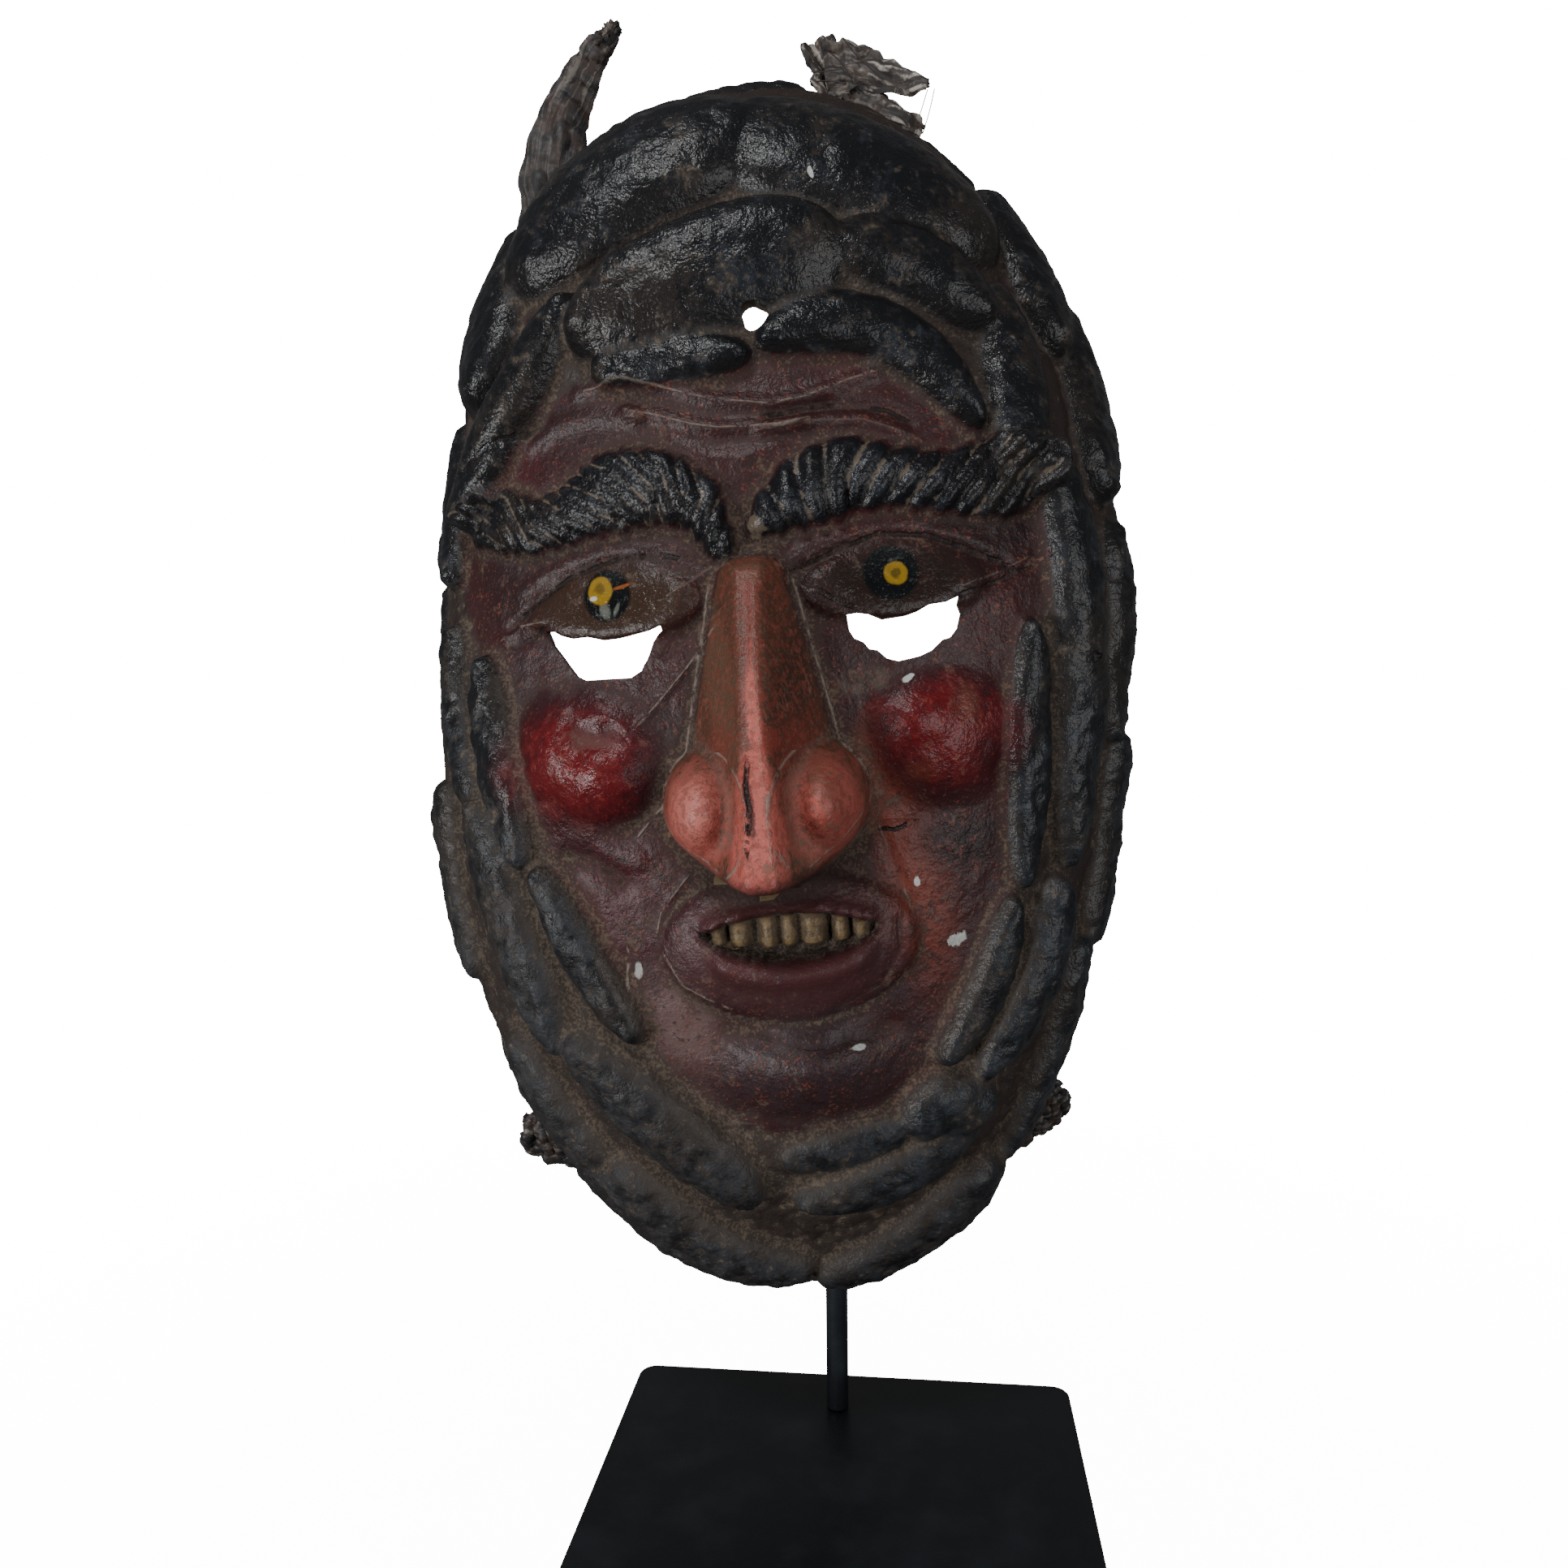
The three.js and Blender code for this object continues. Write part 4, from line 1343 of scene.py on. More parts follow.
def bent_rod(name: str, points: Sequence[Field], radius: float) -> Piece:
    """Bend a thin round rod or hair through points.

    Args:
        name: Name of the piece.
        points: Places in the shared frame, in metres.
        radius: Radius in millimetres.

    Returns:
        The rod as a closed mesh.
    """
    curve = bpy.data.curves.new(name, "CURVE")
    curve.dimensions = "3D"
    curve.bevel_depth = radius * MM
    curve.bevel_resolution = 6 if radius > 1.0 else 1
    curve.use_fill_caps = True
    curve.resolution_u = 12
    spline = curve.splines.new("BEZIER")
    spline.bezier_points.add(len(points) - 1)
    for knot, place in zip(spline.bezier_points, points):
        knot.co = place
        knot.handle_left_type = "AUTO"
        knot.handle_right_type = "AUTO"
    piece = bpy.data.objects.new(name, curve)
    bpy.context.collection.objects.link(piece)
    make_active(piece)
    bpy.ops.object.convert(target="MESH")
    return bpy.context.object


@dataclass(frozen=True)
class LooseHairs:
    """Coarse hairs and fibres at the torn flap, each through three places (right, up, out)."""

    name: str = "loose_hairs"
    radius: float = 0.16
    strands: tuple[tuple[Triple, ...], ...] = (
        ((47.0, 146.0, 9.0), (49.4, 151.0, 10.0), (51.8, 157.0, 10.0)),
        ((50.0, 147.0, 8.0), (52.0, 152.0, 9.0), (53.7, 157.5, 9.0)),
        ((22.0, 165.5, 8.0), (29.0, 163.5, 10.0), (37.0, 158.5, 12.0)),
        ((22.5, 163.0, 8.0), (28.0, 161.5, 10.0), (38.0, 156.5, 12.0)),
        ((26.0, 172.0, 6.0), (30.0, 166.0, 10.0), (34.0, 157.0, 12.0)),
        ((31.0, 173.0, 8.0), (34.0, 167.0, 11.0), (40.0, 160.0, 12.0)),
    )

    def build(self, hang: Hang) -> Piece:
        """Make all hairs as one piece.

        Args:
            hang: Where the mask hangs.

        Returns:
            The finished piece.
        """
        parts = []
        for strand in self.strands:
            points = hang.to_frame(np.array(strand)[:, (0, 2, 1)])
            parts.append(bent_rod("hair", list(points), self.radius))
        return name_piece(join_pieces(parts), self.name)


# The stand


@dataclass
class Stand:
    """The plate, the rod and the hanger behind the mask."""

    hang: Hang
    dome: Dome
    plate_side: float = 130.0
    plate_thickness: float = 6.0
    plate_corner: float = 5.0
    plate_edge: float = 0.5
    rod_radius: float = 3.175
    rod_place: Point = (-3.0, 48.6)
    rod_top: float = 318.0
    gap: float = 0.3
    collar_radius: float = 6.5
    collar_height: float = 16.0
    arm_radius: float = 2.5
    bow_spread: float = math.radians(11.0)
    bow_middle: float = math.radians(87.0)
    bow_share: float = 0.86
    bow_clearance: float = 3.0
    arm_set_back: float = 9.0
    arm_drop: float = 6.0
    bow_points: int = 7
    round_sides: int = 48
    rod_edge: float = 0.3
    collar_edge: float = 0.6
    crease_degrees: float = 40.0

    def plate(self) -> Piece:
        """Make a square plate with rounded corners and eased edges.

        Returns:
            The finished piece.
        """
        deselect_all()
        bpy.ops.mesh.primitive_cube_add(size=1.0)
        piece = name_piece(bpy.context.object, "painted_base_plate")
        size = np.array([self.plate_side, self.plate_side, self.plate_thickness]) * MM
        lift = np.array([0.0, 0.0, self.plate_thickness / 2.0 * MM])
        write_points(piece.data, read_points(piece.data) * size + lift)
        self.bevel(piece, upright=True, width=self.plate_corner, segments=10)
        self.bevel(piece, upright=False, width=self.plate_edge, segments=3)
        return smooth(piece, self.crease_degrees)

    def bevel(self, piece: Piece, upright: bool, width: float, segments: int) -> None:
        """Round the plate's upright corners, or its top and bottom edges.

        Args:
            piece: The plate.
            upright: Whether the upright corners are meant.
            width: Width of the rounding in millimetres.
            segments: Faces across it.
        """
        make_active(piece)
        bpy.ops.object.mode_set(mode="EDIT")
        bpy.ops.mesh.select_mode(type="EDGE")
        bpy.ops.mesh.select_all(action="DESELECT")
        bpy.ops.object.mode_set(mode="OBJECT")
        points = read_points(piece.data)
        for edge in piece.data.edges:
            a, b = points[edge.vertices[0]], points[edge.vertices[1]]
            stands = abs(a[2] - b[2]) > self.plate_thickness * MM / 2.0
            outer = max(abs(a[0] + b[0]), abs(a[1] + b[1])) / 2.0 > self.plate_side * MM * 0.4
            edge.select = bool(stands if upright else not stands and outer)
        bpy.ops.object.mode_set(mode="EDIT")
        bpy.ops.mesh.bevel(offset=width * MM, segments=segments, affect="EDGES")
        bpy.ops.object.mode_set(mode="OBJECT")

    def round_bar(self, name: str, low: float, high: float, radius: float, edge: float) -> Piece:
        """Make an upright round bar on the rod's line, with eased ends.

        Args:
            name: Name of the piece.
            low: Height of its lower end.
            high: Height of its upper end.
            radius: Its radius.
            edge: Width of the rounding at its ends.

        Returns:
            The finished piece.
        """
        deselect_all()
        place = np.array([*self.rod_place, (low + high) / 2.0]) * MM
        bpy.ops.mesh.primitive_cylinder_add(
            vertices=self.round_sides, radius=radius * MM, depth=(high - low) * MM, location=place
        )
        piece = name_piece(bpy.context.object, name)
        make_active(piece)
        bpy.ops.object.transform_apply(location=True, rotation=True, scale=True)
        apply_modifier(
            piece, "BEVEL", width=edge * MM, segments=2, limit_method="ANGLE",
            angle_limit=math.radians(50.0),
        )
        return smooth(piece, self.crease_degrees)

    def rod(self) -> Piece:
        """Make the upright rod."""
        low = self.plate_thickness + self.gap
        return self.round_bar("painted_rod", low, self.rod_top, self.rod_radius, self.rod_edge)

    def bow_point(self, angle: float) -> Field:
        """Find a point of the bow that follows the hollow under the crown.

        Args:
            angle: Its direction from the middle of the dome.

        Returns:
            The point in the shared frame.
        """
        at, share = np.array([angle]), np.array([self.bow_share])
        clear = self.dome.wall + self.bow_clearance
        local = self.dome.point(at, share) - self.dome.normal(at, share) * clear
        return self.hang.to_frame(local)[0]

    def hanger(self) -> Piece:
        """Make the collar on the rod, the arm into the hollow and the bow under the crown.

        Returns:
            The finished piece.
        """
        shares = np.linspace(-1.0, 1.0, self.bow_points)
        bow = [self.bow_point(self.bow_middle + self.bow_spread * share) for share in shares]
        crown = bow[self.bow_points // 2]
        foot = np.array([*self.rod_place, self.rod_top - self.gap]) * MM
        knee = (foot + np.array([foot[0], foot[1], crown[2]])) / 2.0
        shoulder = (foot + crown) / 2.0
        shoulder[1] = (self.rod_place[1] - self.arm_set_back) * MM
        shoulder[2] = crown[2] - self.arm_drop * MM
        half = self.collar_height / 2.0 + self.collar_edge
        middle = self.rod_top + self.collar_edge
        piece = join_pieces((
            bent_rod("painted_hanger", bow, self.arm_radius),
            bent_rod("arm", [foot, knee, shoulder, crown], self.arm_radius),
            self.round_bar(
                "collar", middle - half, middle + half, self.collar_radius, self.collar_edge
            ),
        ))
        return smooth(piece, self.crease_degrees)


# Finishes


def plug(tree: bpy.types.NodeTree, node: bpy.types.Node, inputs: Any) -> None:
    """Give a node's inputs their values and links.

    Args:
        tree: The node's tree.
        node: The node.
        inputs: Values, or outputs that feed them: by socket name or number, or in socket order.
    """
    for key, value in inputs.items() if isinstance(inputs, dict) else enumerate(inputs):
        if isinstance(value, Socket):
            tree.links.new(value, node.inputs[key])
        else:
            node.inputs[key].default_value = value


def add_node(
    tree: bpy.types.NodeTree, kind: str, inputs: Any = (), output: Any = 0, **settings: Any
) -> Socket:
    """Add one node with its settings, values and links.

    Args:
        tree: The tree to add to.
        kind: The node's type name without its "ShaderNode" start.
        inputs: What plug gives its inputs.
        output: Name or number of the output to hand back.
        settings: The node's properties.

    Returns:
        One output of the new node.
    """
    node = tree.nodes.new("ShaderNode" + kind)
    for key, value in settings.items():
        setattr(node, key, value)
    plug(tree, node, inputs)
    return node.outputs[output]


def new_material(name: str) -> tuple[Material, Callable[..., Socket], Callable[..., None]]:
    """Start a material.

    Args:
        name: Name of the material.

    Returns:
        The material, add_node for its tree, and plug for its shader.
    """
    material = bpy.data.materials.new(name)
    material.use_nodes = True
    tree = material.node_tree
    return material, partial(add_node, tree), partial(plug, tree, tree.nodes["Principled BSDF"])


class Paint(Enum):
    """Colours of the paints, as sRGB hex."""

    HAIR_BLACK = "141519"
    HAIR_BLUE = "2b3037"
    HAIR_BROWN = "2a2522"
    # Blue-white flecks on the crests, standing for painted highlight
    FLECK_BLUE = "76828e"
    WEB = "2b2522"
    DUST = "6d6052"
    DUST_PINK = "5f433e"
    SKIN_MAROON = "391f20"
    SKIN_PURPLE = "37272c"
    SKIN_CRIMSON = "47191e"
    SKIN_BROWN = "2f1f1d"
    BRICK = "723529"
    MAUVE = "6d5754"
    RED_SPECK = "8c3629"
    FILM = "4a4038"
    # Very dark maroon: painted shade in the hollow below the right cheek and over the upper lip, darker
    # temples, a stripe down the nose, and dark specks
    SHADOW = "1d1114"
    CORAL = "bd6359"
    CORAL_DEEP = "7c362c"
    ROSE = "c98c82"
    # Pale rose: painted highlight on the left nose wing
    FLANK = "533529"
    OLIVE = "5c4435"
    CHEEK_RED = "69151a"
    CHEEK_DEEP = "3c1117"
    LIP = "5c3436"
    TOOTH = "604f39"
    TOOTH_TIP = "8c7553"
    GAPE = "16110e"
    # Dark maroon paint with the nose's painted shadow over the upper lip
    MOUSTACHE = "2c1a1b"
    EYE_LEFT = "3a2a1f"
    EYE_RIGHT = "241a16"
    IRIS = "0c0e10"
    IRIS_RAY = "8d9186"
    AMBER = "94741c"
    AMBER_DARK = "3a3414"
    ORANGE = "9a5424"
    EDGE = "8a7d74"
    # White: chips down to the ground, and a painted glint on the left pupil
    WHITE = "c9d0cb"
    BLACK = "0b0a0b"
    LINING = "66563f"


@dataclass(frozen=True)
class Patch:
    """One oval patch of paint in the front view, with its edge from soft to crisp."""

    centre: Point
    size: Point
    paint: Paint
    amount: float = 1.0
    soft: float = 0.5
    wear: float = 0.5
    tilt: float = 0.0


SKIN_PATCHES = tuple(Patch(*row) for row in (
    ((-8, 64), (60, 17), Paint.SKIN_BROWN, 0.45, 0.9, 0.9),
    ((-54, 60), (16, 9), Paint.SKIN_CRIMSON, 0.6, 0.8, 0.9, 25.0),
    ((-34, -40), (22, 34), Paint.SKIN_CRIMSON, 0.75, 0.8, 0.8, 10.0),
    ((33, -44), (12, 42), Paint.BRICK, 0.8, 0.8, 1.2, 8.0),
    ((26, -18), (8, 22), Paint.BRICK, 0.9, 0.6, 1.2, 4.0),
    ((-25, -72), (13, 19), Paint.MAUVE, 0.8, 0.8, 1.2, 25.0),
    ((-50, -26), (9, 12), Paint.CHEEK_DEEP, 0.7, 0.8, 0.9, 20.0),
    ((6, -87), (30, 17), Paint.SKIN_PURPLE, 0.9, 0.6, 0.5),
    # Painted shade in the hollow below the right cheek
    ((45, -33), (15, 10), Paint.SHADOW, 0.85, 0.7, 0.3),
    # Painted shadow of the nose over the upper lip
    ((3, -37), (24, 6.5), Paint.SHADOW, 0.9, 0.5, 0.3),
    ((57, 38), (22, 20), Paint.SHADOW, 0.8, 0.8, 0.8),
    ((-60, 34), (14, 18), Paint.SHADOW, 0.5, 0.9, 0.8),
    ((32, 29), (33, 14), Paint.SKIN_BROWN, 0.85, 0.6, 0.4),
    ((-32, 30), (31, 13), Paint.SKIN_BROWN, 0.8, 0.6, 0.4),
    ((24, 5), (9, 4), Paint.DUST, 0.45, 0.6, 1.2, 10.0),
    ((0, 40), (7, 12), Paint.SKIN_BROWN, 0.8, 0.6, 0.3),
))
CHEEK_PATCHES = tuple(Patch(*row) for row in (
    ((-38.5, -4.6), (9.0, 2.4), Paint.DUST_PINK, 0.35, 0.8, 1.2, -12.0),
    ((-38.5, -1.0), (9.0, 3.6), Paint.CHEEK_DEEP, 0.6, 0.7, 0.6, -12.0),
    ((47, -2), (5, 8), Paint.OLIVE, 0.45, 0.9, 1.2),
    ((52, -14), (7, 8), Paint.CHEEK_DEEP, 0.8, 0.9, 1.2),
    ((35, -16), (6, 5), Paint.BRICK, 0.7, 0.9, 1.6),
    ((27, -1), (6, 4), Paint.CHEEK_RED, 0.6, 0.9, 1.2),
    ((-44, 4), (13, 4), Paint.CHEEK_DEEP, 0.3, 0.9, 1.0, 10.0),
))
NOSE_PATCHES = tuple(Patch(*row) for row in (
    ((-7, 5), (5.5, 24), Paint.OLIVE, 0.9, 0.5, 0.6, 8.0),
    ((9, 6), (6.5, 26), Paint.SKIN_BROWN, 0.45, 0.6, 0.9, -12.0),
))
RIDGE_PATCHES = tuple(Patch(*row) for row in (
    ((-2.8, 18), (2.6, 15), Paint.FLANK, 0.8, 0.6, 1.6, 2.0),
    ((0.5, 32), (6, 5), Paint.OLIVE, 0.7, 0.8, 0.8),
    ((8, -7), (6, 9), Paint.CORAL_DEEP, 0.6, 0.9, 1.2),
    ((-8, -7), (5, 8), Paint.CORAL_DEEP, 0.5, 0.9, 1.2),
    # Painted highlight on the left nose wing, which faces the light
    ((-13.5, -19), (8, 11), Paint.ROSE, 0.4, 0.9, 1.0),
    ((16, -24), (7, 8), Paint.CORAL_DEEP, 0.6, 0.9, 1.2),
    ((12, -14), (5, 6), Paint.OLIVE, 0.5, 0.9, 1.6),
    ((-2.6, -3), (2.0, 9), Paint.FLANK, 0.85, 0.5, 1.6, 6.0),
    ((3.2, -6), (2.4, 4.5), Paint.CORAL_DEEP, 0.9, 0.5, 1.2),
    ((-1.5, -20), (1.2, 9), Paint.SHADOW, 0.8, 0.5, 1.6, 4.0),
    ((15.5, -17), (6, 8), Paint.FLANK, 0.55, 0.9, 1.4),
    ((9, -30), (9, 5), Paint.DUST, 0.35, 0.8, 2.0, 25.0),
))
# The painted shadow of the nose on dark paint over the upper lip, the eyes with a painted glint on the
# left pupil, and chips down to the white ground
TOP_PATCHES = tuple(Patch(*row) for row in (
    ((3.0, -39.5), (25, 7.5), Paint.MOUSTACHE, 0.9, 0.7, 0.5),
    ((32.5, 27), (24, 11), Paint.EYE_RIGHT, 0.85, 0.5, 0.5),
    ((-32.5, 27), (24, 11), Paint.EYE_LEFT, 0.85, 0.5, 0.5),
    ((-33.5, 29), (6.1, 6.5), Paint.IRIS, 1.0, 0.15, 0.1),
    ((31.7, 28.9), (6.8, 6.8), Paint.IRIS, 1.0, 0.15, 0.1),
    ((-34.2, 25.4), (1.6, 2.6), Paint.IRIS_RAY, 0.45, 0.6, 0.7, 20.0),
    ((-31.4, 25.6), (0.7, 2.4), Paint.IRIS_RAY, 0.4, 0.6, 0.5, -25.0),
    ((-30.0, 30.7), (3.2, 0.6), Paint.ORANGE, 0.8, 0.6, 0.5, 10.0),
    ((-35.2, 30.3), (3.2, 3.7), Paint.AMBER, 1.0, 0.2, 0.3),
    ((-35.4, 30.8), (1.7, 2.0), Paint.AMBER_DARK, 0.6, 0.6, 1.6),
    # Painted glint on the left pupil
    ((-36.8, 28.6), (1.1, 0.7), Paint.WHITE, 0.8, 0.4, 0.4),
    ((32.8, 28.8), (3.0, 3.0), Paint.AMBER, 0.95, 0.2, 0.3),
    ((32.9, 28.9), (1.5, 1.6), Paint.AMBER_DARK, 0.7, 0.6, 1.6),
    ((33, -42), (0.9, 1.5), Paint.WHITE, 0.85, 0.3, 1.2),
    ((42, -57), (2.6, 1.7), Paint.WHITE, 0.7, 0.3, 3.0, 20.0),
    ((17, -80), (1.9, 0.8), Paint.WHITE, 0.9, 0.3, 1.2),
    ((19, 119), (0.6, 1.3), Paint.WHITE, 0.8, 0.3, 1.4, 20.0),
    ((34, 5), (1.7, 0.8), Paint.WHITE, 0.9, 0.3, 1.4, 30.0),
    ((-34, -59), (1.1, 2.2), Paint.WHITE, 0.6, 0.4, 1.4, -10.0),
))
# Numbers stored on the mask that its paints read
STORED = (
    "front_x", "front_z", "skin", "hair", "brow", "strand", "nose", "ridge", "wing", "cheek", "eye",
    "lip", "gape", "tooth", "dip", "crest", "pale", "pale_amount", "dark", "dark_amount", "inside",
)


class Grain(Enum):
    """Noises in the paint: width of a lump in millimetres, and detail."""

    CLOUD = (26.0, 3.0)
    LUMP = (6.0, 4.0)
    SPOT = (1.7, 3.0)
    SPECK = (0.75, 2.0)


class PaintLayers:
    """Layers of paint in one material, each laid over the colour so far with a frayed edge."""

    def __init__(self, add: Callable[..., Socket]) -> None:
        """Set up the stored numbers, the noises and the front view's own place.

        Args:
            add: add_node for the material's tree.
        """
        self.add = add
        self.stored = {
            name: add("Attribute", output="Fac", attribute_name=name) for name in STORED
        }
        place = add("TexCoord", output="Object")
        self.noise: dict[Grain, Socket] = {}
        for grain in Grain:
            size, detail = grain.value
            inputs = {"Vector": place, "Scale": 1.0 / (size * MM), "Detail": detail, "Roughness": 0.6}
            self.noise[grain] = add("TexNoise", inputs)
        both = (self.noise[Grain.LUMP], self.noise[Grain.SPOT])
        self.fray = add("Math", (add("Math", both, operation="ADD"), 1.0), operation="SUBTRACT")
        front = {"X": self.stored["front_x"], "Y": self.stored["front_z"]}
        self.front = add("CombineXYZ", front)
        self.colour: Any = linear(Paint.SKIN_MAROON.value)

    def share(self, mask: Any, start: float, end: float, wear: float, amount: Any) -> Socket:
        """Turn a mask into how much paint lies there.

        Args:
            mask: The number to go by.
            start: Where the paint begins.
            end: Where it is whole.
            wear: How far the noise shifts the edge.
            amount: Most paint there is, as a number or an output.

        Returns:
            An output from 0 to amount.
        """
        shift = self.add("Math", (self.fray, wear, mask), operation="MULTIPLY_ADD")
        inputs = (shift, start, end, 0.0, amount)
        return self.add("MapRange", inputs, interpolation_type="SMOOTHSTEP")

    def lay(self, share: Any, paint: Any, within: Any = None) -> None:
        """Lay a paint over the colour so far.

        Args:
            share: How much of it.
            paint: The paint, or an output with its colour.
            within: An output that thins it where it is below 1.
        """
        if within is not None:
            share = self.add("Math", (share, within), operation="MULTIPLY")
        tone = linear(paint.value) if isinstance(paint, Paint) else paint
        self.colour = self.add("Mix", {0: share, 6: self.colour, 7: tone}, 2, data_type="RGBA")

    def speckle(self, grain: Grain, rare: float, mask: Any, paint: Paint, amount: float) -> None:
        """Strew specks of paint.

        Args:
            grain: The noise that places them.
            rare: From 0 for many to 1 for none.
            mask: Where it is high, they are thicker.
            paint: Their paint.
            amount: How much of it.
        """
        low = self.add("MapRange", (mask, 0.0, 1.0, rare + 0.3, rare))
        above = self.add("Math", (self.noise[grain], low), operation="SUBTRACT")
        self.lay(self.add("MapRange", (above, -0.01, 0.05, 0.0, amount)), paint)

    def patches(self, patches: Sequence[Patch], within: Any = 1.0) -> None:
        """Lay oval patches.

        Args:
            patches: The patches in order.
            within: Thins them where it is below 1.
        """
        for patch in patches:
            inputs = (
                self.front, (*patch.centre, 0.0), (0.0, 0.0, math.radians(patch.tilt)),
                (*patch.size, 1.0),
            )
            spot = self.add("Mapping", inputs, vector_type="TEXTURE")
            reach = self.add("VectorMath", (spot,), "Value", operation="LENGTH")
            inside = self.add("Math", (1.0, reach), operation="SUBTRACT")
            amount = self.add("Math", (within, patch.amount), operation="MULTIPLY")
            wear = patch.wear * min(1.0, 4.0 / min(patch.size)) * 0.7
            self.lay(self.share(inside, 0.0, patch.soft, wear, amount), patch.paint)


# Oil paint on moulded rawhide: a thin hard skin, dark and satin, worn pale in places and flecked with
# painted highlight on what stands out, with painted shade in some grooves, grey-tan dust in what lies
# back and fine specks all over
@dataclass(frozen=True)
class PaintedHide:
    """Oil paint on moulded rawhide."""

    name: str = "painted_rawhide"
    line_half: float = 0.26
    dark_half: float = 0.5
    pebble: float = 0.34
    grit: float = 0.14
    crumple: float = 0.28
    pale_rise: float = 0.35
    dark_rise: float = -0.4
    veil: float = 0.42
    specular: float = 0.36

    def make(self) -> Material:
        """Make the material, which reads the numbers stored on the mask.

        Returns:
            The material.
        """
        material, add, finish = new_material(self.name)
        layers = PaintLayers(add)
        dust = self.dust(layers)
        self.skin(layers)
        hair = self.hair(layers)
        self.features(layers)
        self.wear(layers, dust)
        pale, dark = self.lines(layers)
        layers.lay(layers.stored["inside"], Paint.LINING)
        finish({
            "Base Color": layers.colour, "Roughness": self.roughness(layers, dust, hair),
            "Normal": self.bumps(layers, hair, pale, dark), "Specular IOR Level": self.specular,
        })
        return material

    def dust(self, layers: PaintLayers) -> Socket:
        """Find where dust lies: in what lies back, and more to the lower left.

        Args:
            layers: The layers so far.

        Returns:
            How dusty it is, from 0 to 1.
        """
        add, stored = layers.add, layers.stored
        tilt = (layers.front, (-0.0026, -0.0024, 0.0))
        lower = add("VectorMath", tilt, "Value", operation="DOT_PRODUCT")
        more = add("Math", (stored["dip"], lower), operation="ADD")
        near_hair = add("MapRange", (stored["skin"], 5.0, -3.0, 0.0, 0.08))
        total = add("Math", (more, near_hair), operation="ADD")
        for name, amount in (("eye", -1.5), ("nose", -0.25)):
            total = add("Math", (stored[name], amount, total), operation="MULTIPLY_ADD")
        return layers.share(total, 0.1, 0.95, 0.55, 1.0)

    def skin(self, layers: PaintLayers) -> None:
        """Lay maroon skin with broad purple-brown and crimson clouds.

        Args:
            layers: The layers so far.
        """
        cloud, lump = layers.noise[Grain.CLOUD], layers.noise[Grain.LUMP]
        layers.lay(layers.share(cloud, 0.42, 0.62, 0.25, 0.8), Paint.SKIN_PURPLE)
        layers.lay(layers.share(cloud, 0.44, 0.30, 0.25, 0.45), Paint.SKIN_CRIMSON)
        layers.patches(SKIN_PATCHES)
        layers.speckle(Grain.LUMP, 0.38, cloud, Paint.SKIN_BROWN, 0.65)
        layers.speckle(Grain.SPOT, 0.45, lump, Paint.BRICK, 0.5)
        layers.speckle(Grain.SPECK, 0.48, lump, Paint.RED_SPECK, 0.7)
        layers.speckle(Grain.SPOT, 0.41, cloud, Paint.SHADOW, 0.6)

    def hair(self, layers: PaintLayers) -> Socket:
        """Lay blue-black locks on a dusty web, and the brows, with painted shade making the locks
        blacker towards the crown and painted light making them bluer lower down.

        Args:
            layers: The layers so far.

        Returns:
            Where the hair paint lies.
        """
        add, stored = layers.add, layers.stored
        outside = add("Math", (stored["skin"], -1.0), operation="MULTIPLY")
        layers.lay(layers.share(outside, -0.8, 1.6, 3.0, 0.85), Paint.WEB)
        lock = layers.share(stored["hair"], -0.02, 0.10, 0.12, 1.0)
        brow = layers.share(stored["brow"], 0.05, 0.32, 0.2, 1.0)
        hair = add("Math", (lock, brow), operation="MAXIMUM")
        # Painted light and shade: locks blacker towards the crown, bluer and lighter lower down
        painted_light_lower = add("MapRange", (stored["front_z"], 70.0, -60.0, -0.08, 0.06))
        cloud = add("Math", (layers.noise[Grain.LUMP], painted_light_lower), operation="ADD")
        blue = layers.share(cloud, 0.42, 0.68, 0.2, 0.85)
        tone = {0: blue, 6: linear(Paint.HAIR_BLACK.value), 7: linear(Paint.HAIR_BLUE.value)}
        layers.lay(hair, add("Mix", tone, 2, data_type="RGBA"))
        brown = layers.share(layers.noise[Grain.CLOUD], 0.50, 0.66, 0.6, 0.8)
        layers.lay(hair, Paint.HAIR_BROWN, brown)
        low = add("MapRange", (stored["front_z"], 40.0, -60.0, 0.1, 0.6))
        layers.lay(lock, Paint.FILM, layers.share(stored["hair"], 0.45, 0.05, 0.7, low))
        return hair

    def features(self, layers: PaintLayers) -> None:
        """Lay the cheeks, nose, lips and teeth.

        Args:
            layers: The layers so far.
        """
        add, stored = layers.add, layers.stored
        cheek, nose, tooth = stored["cheek"], stored["nose"], stored["tooth"]
        layers.lay(layers.share(cheek, 0.05, 0.6, 0.35, 0.9), Paint.CHEEK_DEEP)
        layers.lay(layers.share(cheek, 0.35, 0.95, 0.9, 0.95), Paint.CHEEK_RED)
        layers.patches(CHEEK_PATCHES)
        layers.speckle(Grain.SPOT, 0.55, cheek, Paint.RED_SPECK, 0.35)
        layers.speckle(Grain.SPECK, 0.55, cheek, Paint.SHADOW, 0.5)
        layers.lay(layers.share(nose, 0.3, 0.6, 0.1, 1.0), Paint.FLANK)
        layers.patches(NOSE_PATCHES, nose)
        layers.lay(layers.share(stored["ridge"], 0.05, 0.6, 0.6, 0.6), Paint.CORAL_DEEP, nose)
        low = add("MapRange", (stored["front_z"], 24.0, -12.0, -1.0, 0.15))
        strip = add("Math", (stored["ridge"], low), operation="ADD")
        ridge = layers.share(strip, 0.05, 0.5, 0.7, 0.95)
        coral = (ridge, layers.share(stored["wing"], 0.0, 0.5, 0.6, 0.95))
        layers.lay(add("Math", coral, operation="MAXIMUM"), Paint.CORAL, nose)
        layers.patches(RIDGE_PATCHES, nose)
